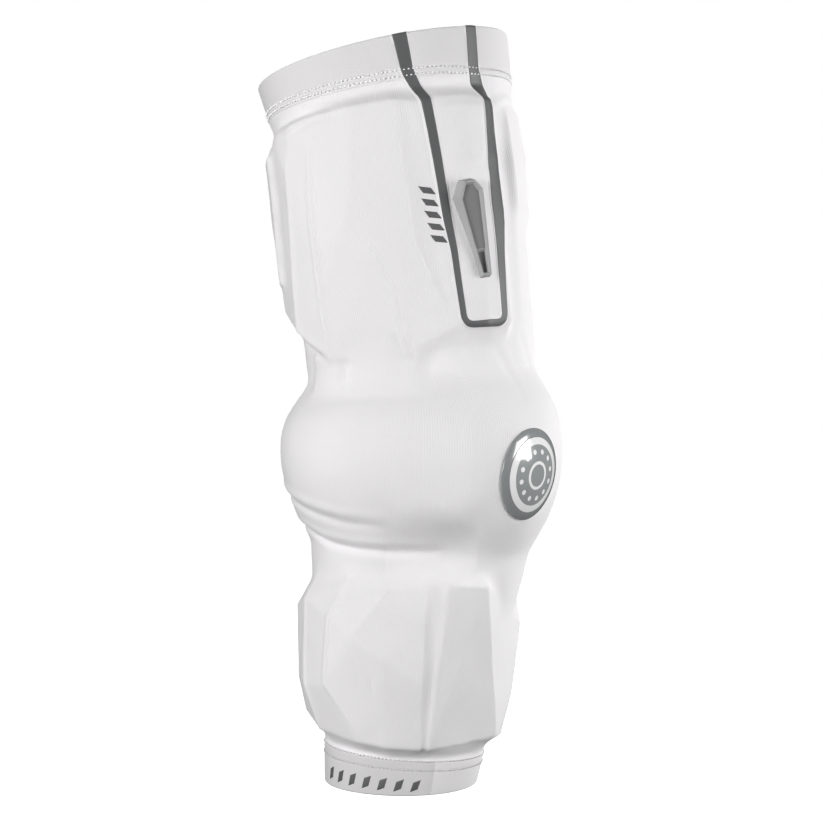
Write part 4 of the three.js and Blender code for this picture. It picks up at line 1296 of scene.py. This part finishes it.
def sleeve_frame(turn, s, roll):
    """Place and directions of a face on the sleeve: right, up and out, rolled about out."""
    grid = shaped["calm"]
    out = unit(grid.at(turn, s, 1) - grid.at(turn, s))
    up = unit(grid.at(turn, s - FRAME_REACH) - grid.at(turn, s + FRAME_REACH))
    up = unit(up - out * (up @ out))
    right = np.cross(up, out)
    angle = math.radians(roll)
    rolled_up = up * math.cos(angle) - right * math.sin(angle)
    return grid.at(turn, s), np.cross(rolled_up, out), rolled_up, out


def tab_share(along):
    """Thickness of the tab as a share of its head's, which falls towards its foot."""
    return FOOT_SHARE + (1 - FOOT_SHARE) * np.clip(along / TAB_LENGTH + 0.5, 0, 1)


class ARMPAD_OT_tab(bpy.types.Operator):
    """Models the moulded pull tab with its rim, tray and slot"""
    bl_idname = "armpad.tab"
    bl_label = "Pull tab"

    def execute(self, context):
        bpy.ops.object.select_all(action="DESELECT")
        bpy.ops.mesh.primitive_circle_add(vertices=len(TAB_OUTLINE), radius=1, fill_type="NGON")
        obj = context.object
        obj.name = obj.data.name = "tab_body"
        place_vertices(obj, [(x * TAB_WIDTH, y * TAB_LENGTH, TAB_UNDER) for x, y in TAB_OUTLINE[::-1]])
        pick_faces(obj)
        bpy.ops.mesh.normals_make_consistent(inside=False)
        push_faces(TAB_TOP - TAB_UNDER, TAB_DRAFT)
        bpy.ops.mesh.inset(thickness=TAB_RIM * MM)
        push_faces(-TRAY_DEPTH, TRAY_DRAFT)
        for along in SLOT_EDGES:
            bpy.ops.mesh.select_all(action="SELECT")
            bpy.ops.mesh.bisect(plane_co=(0, along * TAB_LENGTH * MM, 0), plane_no=(0, 1, 0))
        bpy.ops.object.mode_set(mode="OBJECT")
        places = vertex_places(obj)
        floor = np.abs(places[:, 2] - (TAB_TOP - TRAY_DEPTH)) < SAME
        places[floor & (places[:, 1] < np.mean(SLOT_EDGES) * TAB_LENGTH), 2] -= SLOT_DEPTH
        places[:, 2] *= np.where(places[:, 2] > 0, tab_share(places[:, 1]), 1)
        place_vertices(obj, places)
        round_edges(obj, *TAB_EDGE)
        # A map that marks the tray's floor, whose rubber gets painted shade for its recess
        layer = obj.data.uv_layers.new(name="tray")
        for face in obj.data.polygons:
            _, along, height = face.center / MM
            low = 0 < height < (TAB_TOP - TRAY_DEPTH + TRAY_MARGIN) * tab_share(along)
            for loop in face.loop_indices:
                layer.data[loop].uv = (float(low and abs(face.normal.z) > LEVEL), 0)
        origin, right, up, out = sleeve_frame(TAB_TURN, TAB_STATION, TAB_ROLL)
        place_vertices(obj, origin + vertex_places(obj) @ np.array([right, up, out]))
        close_surface(obj, TAB_SMOOTH)
        rubber = context.scene.armpad_trim.rubber_colour
        finish(obj, plain_material("rubber", rubber, shine=0.2, painted_shade=("tray", TRAY_PAINTED_SHADE)), "pull_tab")
        return {"FINISHED"}


BADGE_TURN, BADGE_STATION = 47.0, station("elbow", 0.56)
BADGE_RADIUS, BADGE_RING = 21.0, 4.1
BADGE_POINTS = 120

# Heights above the knit: the ring's inner lip, outer lip and underside, then the dome's edge, its
# rise and its underside; the gap between the two pieces; and their rounded edges and shading
RING_INNER, RING_OUTER, RING_UNDER = 2.0, 1.1, -1.7
DOME_EDGE, DOME_RISE, DOME_UNDER = 2.0, 1.5, -1.0
DOME_GAP = 0.05
RING_EDGE, RING_SMOOTH, DOME_SMOOTH = (0.35, 40), 40, 50

# The badge's print in metres: the grey disc's radius; the count of dots, their ring's radius and
# their own; the radius and half the width of the ring in the middle
DISC_RADIUS = 0.0136
DOTS, DOTS_RADIUS, DOT_RADIUS = 12, 0.0105, 0.00115
HEART_RADIUS, HEART_WIDTH = 0.0056, 0.0007


def lay_badge(obj):
    """Bends a flat-modelled badge piece round the elbow, keeping its flat places as its map."""
    flat = vertex_places(obj)
    write_map(obj.data, flat[:, :2] * MM)
    grid = shaped["calm"]
    centre = grid.at(BADGE_TURN, BADGE_STATION)[:2]
    per_turn = math.radians(np.linalg.norm(centre - (np.interp(BADGE_STATION, WALK, AXIS_X), 0)))
    place_vertices(obj, grid.at(BADGE_TURN + flat[:, 0] / per_turn, BADGE_STATION - flat[:, 1], flat[:, 2]))


def badge_ring_material(trim):
    """Dark grey plastic under a clear coat."""
    material, tree, shader = new_material("badge_ring")
    shade = mottled(tree, scale=140.0, amount=0.08)
    tree.links.new(shaded(tree, trim.badge_colour, shade), shader.inputs["Base Color"])
    add_grain(tree, shader, "badge_ring")
    shader.inputs["Coat Roughness"].default_value = 0.05
    shader.inputs["Coat Weight"].default_value = 0.8
    return material


def badge_dome_material(trim):
    """White ring round a grey disc with a ring of dots, under a clear coat."""
    material, tree, shader = new_material("badge_dome")
    x, y = map_parts(tree)
    radius = distance(tree, x, y)
    disc = maths(tree, "LESS_THAN", radius, DISC_RADIUS)
    turn = maths(tree, "MULTIPLY", maths(tree, "ARCTAN2", y, x), DOTS / (2 * math.pi))
    near = maths(tree, "ABSOLUTE", maths(tree, "SUBTRACT", maths(tree, "FRACT", turn), 0.5))
    across = maths(tree, "MULTIPLY", near, 2 * math.pi * DOTS_RADIUS / DOTS)
    down = maths(tree, "SUBTRACT", radius, DOTS_RADIUS)
    spot = maths(tree, "LESS_THAN", distance(tree, across, down), DOT_RADIUS)
    from_heart = maths(tree, "ABSOLUTE", maths(tree, "SUBTRACT", radius, HEART_RADIUS))
    heart = maths(tree, "LESS_THAN", from_heart, HEART_WIDTH)
    plain = maths(tree, "SUBTRACT", 1.0, maths(tree, "MAXIMUM", spot, heart))
    grey = maths(tree, "MULTIPLY", disc, plain)
    face = mixed(tree, grey, (0.95, 0.95, 0.95, 1), colour(trim.badge_colour, share=1.25))
    tree.links.new(face, shader.inputs["Base Color"])
    add_grain(tree, shader, "badge_dome")
    shader.inputs["Coat Weight"].default_value = 1.0
    shader.inputs["Coat Roughness"].default_value = 0.03
    return material


class ARMPAD_OT_badge(bpy.types.Operator):
    """Models the badge's ring and its glossy dome"""
    bl_idname = "armpad.badge"
    bl_label = "Badge"

    def execute(self, context):
        trim = context.scene.armpad_trim
        self.ring(context, trim)
        self.dome(context, trim)
        return {"FINISHED"}

    def ring(self, context, trim):
        """A ring with a sloping face."""
        bpy.ops.object.select_all(action="DESELECT")
        bpy.ops.mesh.primitive_cylinder_add(
            vertices=BADGE_POINTS, radius=BADGE_RADIUS * MM, depth=-2 * RING_UNDER * MM, location=(0, 0, 0))
        ring = context.object
        ring.name = ring.data.name = "badge_rim"
        pick_faces(ring, lambda face: abs(face.normal.z) > LEVEL)
        bpy.ops.mesh.inset(thickness=BADGE_RING * MM, use_individual=True)
        bpy.ops.mesh.bridge_edge_loops()
        bpy.ops.object.mode_set(mode="OBJECT")
        places = vertex_places(ring)
        inner = np.hypot(places[:, 0], places[:, 1]) < BADGE_RADIUS - BADGE_RING / 2
        places[:, 2] = np.where(places[:, 2] > 0, np.where(inner, RING_INNER, RING_OUTER), RING_UNDER)
        place_vertices(ring, places)
        round_edges(ring, *RING_EDGE)
        lay_badge(ring)
        close_surface(ring, RING_SMOOTH)
        finish(ring, badge_ring_material(trim), "badge_ring")

    def dome(self, context, trim):
        """A low dome with a flat underside, from the upper half of a ball."""
        bpy.ops.object.select_all(action="DESELECT")
        bpy.ops.mesh.primitive_uv_sphere_add(segments=BADGE_POINTS, ring_count=40, radius=1)
        dome = context.object
        dome.name = dome.data.name = "badge_face"
        pick_faces(dome)
        bpy.ops.mesh.bisect(plane_co=(0, 0, 0), plane_no=(0, 0, 1), clear_inner=True, use_fill=True)
        bpy.ops.object.mode_set(mode="OBJECT")
        places = np.array([v.co for v in dome.data.vertices])
        height = DOME_EDGE + DOME_RISE * (1 - (places[:, :2] ** 2).sum(1))
        height = np.where(places[:, 2] > SAME, height, DOME_UNDER)
        places = places * (BADGE_RADIUS - BADGE_RING - DOME_GAP)
        places[:, 2] = height
        place_vertices(dome, places)
        lay_badge(dome)
        close_surface(dome, DOME_SMOOTH)
        finish(dome, badge_dome_material(trim), "badge_dome")


CAMERA_PLACE = (0.0151, -0.85, -0.1807)
PHOTO_PIXELS, FOCAL_PIXELS, SENSOR = 823, 1635, 36
FLOOR_SIZE, FLOOR_COLOUR = 8, (0.93, 0.93, 0.93)

# Soft lights: name, place, size across and high, power, whether it shows as a highlight and whether
# it lights what is matt; and the place that all of them face
LIGHTS = (
    ("key_soft", (-0.78, -1.1, -0.05), 0.4, 0.5, 16.4, True, True),
    ("right_strip", (0.95, 0.4, -0.12), 0.35, 1.2, 9.6, False, True),
    ("right_fill", (0.94, -0.28, -0.18), 0.5, 0.8, 7.4, False, True),
    ("left_strip", (-1.0, 0.3, 0.0), 0.3, 1.0, 0.8, False, True),
    ("back_soft", (0.1, 1.2, 0.1), 1.2, 1.0, 4.0, False, True),
    ("badge_card", (0.95, -0.34, 0.0), 0.4, 0.4, 7.0, True, False),
)
LIGHT_AIM = Vector((0.02, 0, -0.18))


class ARMPAD_OT_stage(bpy.types.Operator):
    """Sets the floor, the soft lights and the camera"""
    bl_idname = "armpad.stage"
    bl_label = "Stage"

    def execute(self, context):
        settings = context.scene.armpad_stage
        self.floor(context, settings.floor_drop)
        self.lights(context)
        self.surroundings(context, settings.light)
        self.camera(context)
        return {"FINISHED"}

    def floor(self, context, drop):
        """A white floor that neither lights the pad nor shows in it."""
        bpy.ops.object.select_all(action="DESELECT")
        bpy.ops.mesh.primitive_plane_add(size=FLOOR_SIZE, location=(0, 0, CAD_BOUNDS[0][2] - drop))
        floor = context.object
        floor.name = "floor"
        bpy.ops.object.transform_apply(location=True, rotation=True, scale=True)
        material, tree, shader = new_material("floor")
        shade = mottled(tree, scale=6.0, amount=0.01)
        tree.links.new(shaded(tree, FLOOR_COLOUR, shade), shader.inputs["Base Color"])
        shader.inputs["Roughness"].default_value = 0.9
        shader.inputs["Emission Color"].default_value = (1, 1, 1, 1)
        shader.inputs["Emission Strength"].default_value = 1.0
        floor.data.materials.append(material)
        floor.visible_diffuse = False
        floor.visible_glossy = False

    def lights(self, context):
        """The soft lights, each facing the pad."""
        for name, place, across, high, power, glossy, matt in LIGHTS:
            data = bpy.data.lights.new(name, "AREA")
            data.shape = "RECTANGLE"
            data.size, data.size_y, data.energy = across, high, power
            light = bpy.data.objects.new(name, data)
            light.location = place
            light.rotation_euler = (LIGHT_AIM - Vector(place)).to_track_quat("-Z", "Y").to_euler()
            light.visible_glossy, light.visible_diffuse = glossy, matt
            context.scene.collection.objects.link(light)

    def surroundings(self, context, strength):
        """White surroundings to the camera, and a faint light from all round."""
        world = bpy.data.worlds.new("studio")
        context.scene.world = world
        world.use_nodes = True
        tree = world.node_tree
        seen = tree.nodes["Background"]
        seen.inputs["Color"].default_value = (1, 1, 1, 1)
        seen.inputs["Strength"].default_value = 1.0
        glow = add_node(tree, "ShaderNodeBackground", {"Color": (1, 0.99, 0.99, 1), "Strength": strength})
        path = add_node(tree, "ShaderNodeLightPath")
        mix = add_node(tree, "ShaderNodeMixShader", {
            0: path.outputs["Is Camera Ray"], 1: glow.outputs[0], 2: seen.outputs[0]})
        tree.links.new(mix.outputs[0], tree.nodes["World Output"].inputs["Surface"])

    def camera(self, context):
        """The camera, level and straight in front, with the photo's field of view."""
        camera = bpy.data.objects.new("camera", bpy.data.cameras.new("camera"))
        camera.data.sensor_width = SENSOR
        camera.data.lens = FOCAL_PIXELS / PHOTO_PIXELS * SENSOR
        camera.location = CAMERA_PLACE
        camera.rotation_euler = (math.pi / 2, 0, 0)
        context.scene.collection.objects.link(camera)
        context.scene.camera = camera
        context.scene.view_settings.view_transform = "Standard"


OPERATORS = (ARMPAD_OT_skin, ARMPAD_OT_foams, ARMPAD_OT_cuffs, ARMPAD_OT_stripe, ARMPAD_OT_marks,
             ARMPAD_OT_tab, ARMPAD_OT_badge, ARMPAD_OT_stage)
SETTINGS = (("armpad_knit", KnitSettings), ("armpad_trim", TrimSettings), ("armpad_stage", StageSettings))


class ARMPAD_PT_panel(bpy.types.Panel):
    """Sizes, colours and pieces of the arm pad"""
    bl_label = "Arm pad"
    bl_idname = "ARMPAD_PT_panel"
    bl_space_type = "VIEW_3D"
    bl_region_type = "UI"
    bl_category = "Arm pad"

    def draw(self, context):
        for name, kind in SETTINGS:
            box = self.layout.box()
            for label in kind.__annotations__:
                box.prop(getattr(context.scene, name), label)
        for operator in OPERATORS:
            self.layout.operator(operator.bl_idname)


def register():
    """Adds the settings, the operators and the panel to Blender."""
    for _, kind in SETTINGS:
        bpy.utils.register_class(kind)
    for kind in (*OPERATORS, ARMPAD_PT_panel):
        bpy.utils.register_class(kind)
    for name, kind in SETTINGS:
        setattr(bpy.types.Scene, name, bpy.props.PointerProperty(type=kind))


def unregister():
    """Takes them out again, in the opposite order."""
    for name, _ in SETTINGS:
        delattr(bpy.types.Scene, name)
    for kind in (ARMPAD_PT_panel, *OPERATORS[::-1]):
        bpy.utils.unregister_class(kind)
    for _, kind in SETTINGS:
        bpy.utils.unregister_class(kind)


def main():
    """Makes every piece in its turn."""
    register()
    bpy.ops.armpad.skin()
    bpy.ops.armpad.foams()
    bpy.ops.armpad.cuffs()
    bpy.ops.armpad.stripe()
    bpy.ops.armpad.marks()
    bpy.ops.armpad.tab()
    bpy.ops.armpad.badge()
    bpy.ops.armpad.stage()


if __name__ == "__main__":
    main()
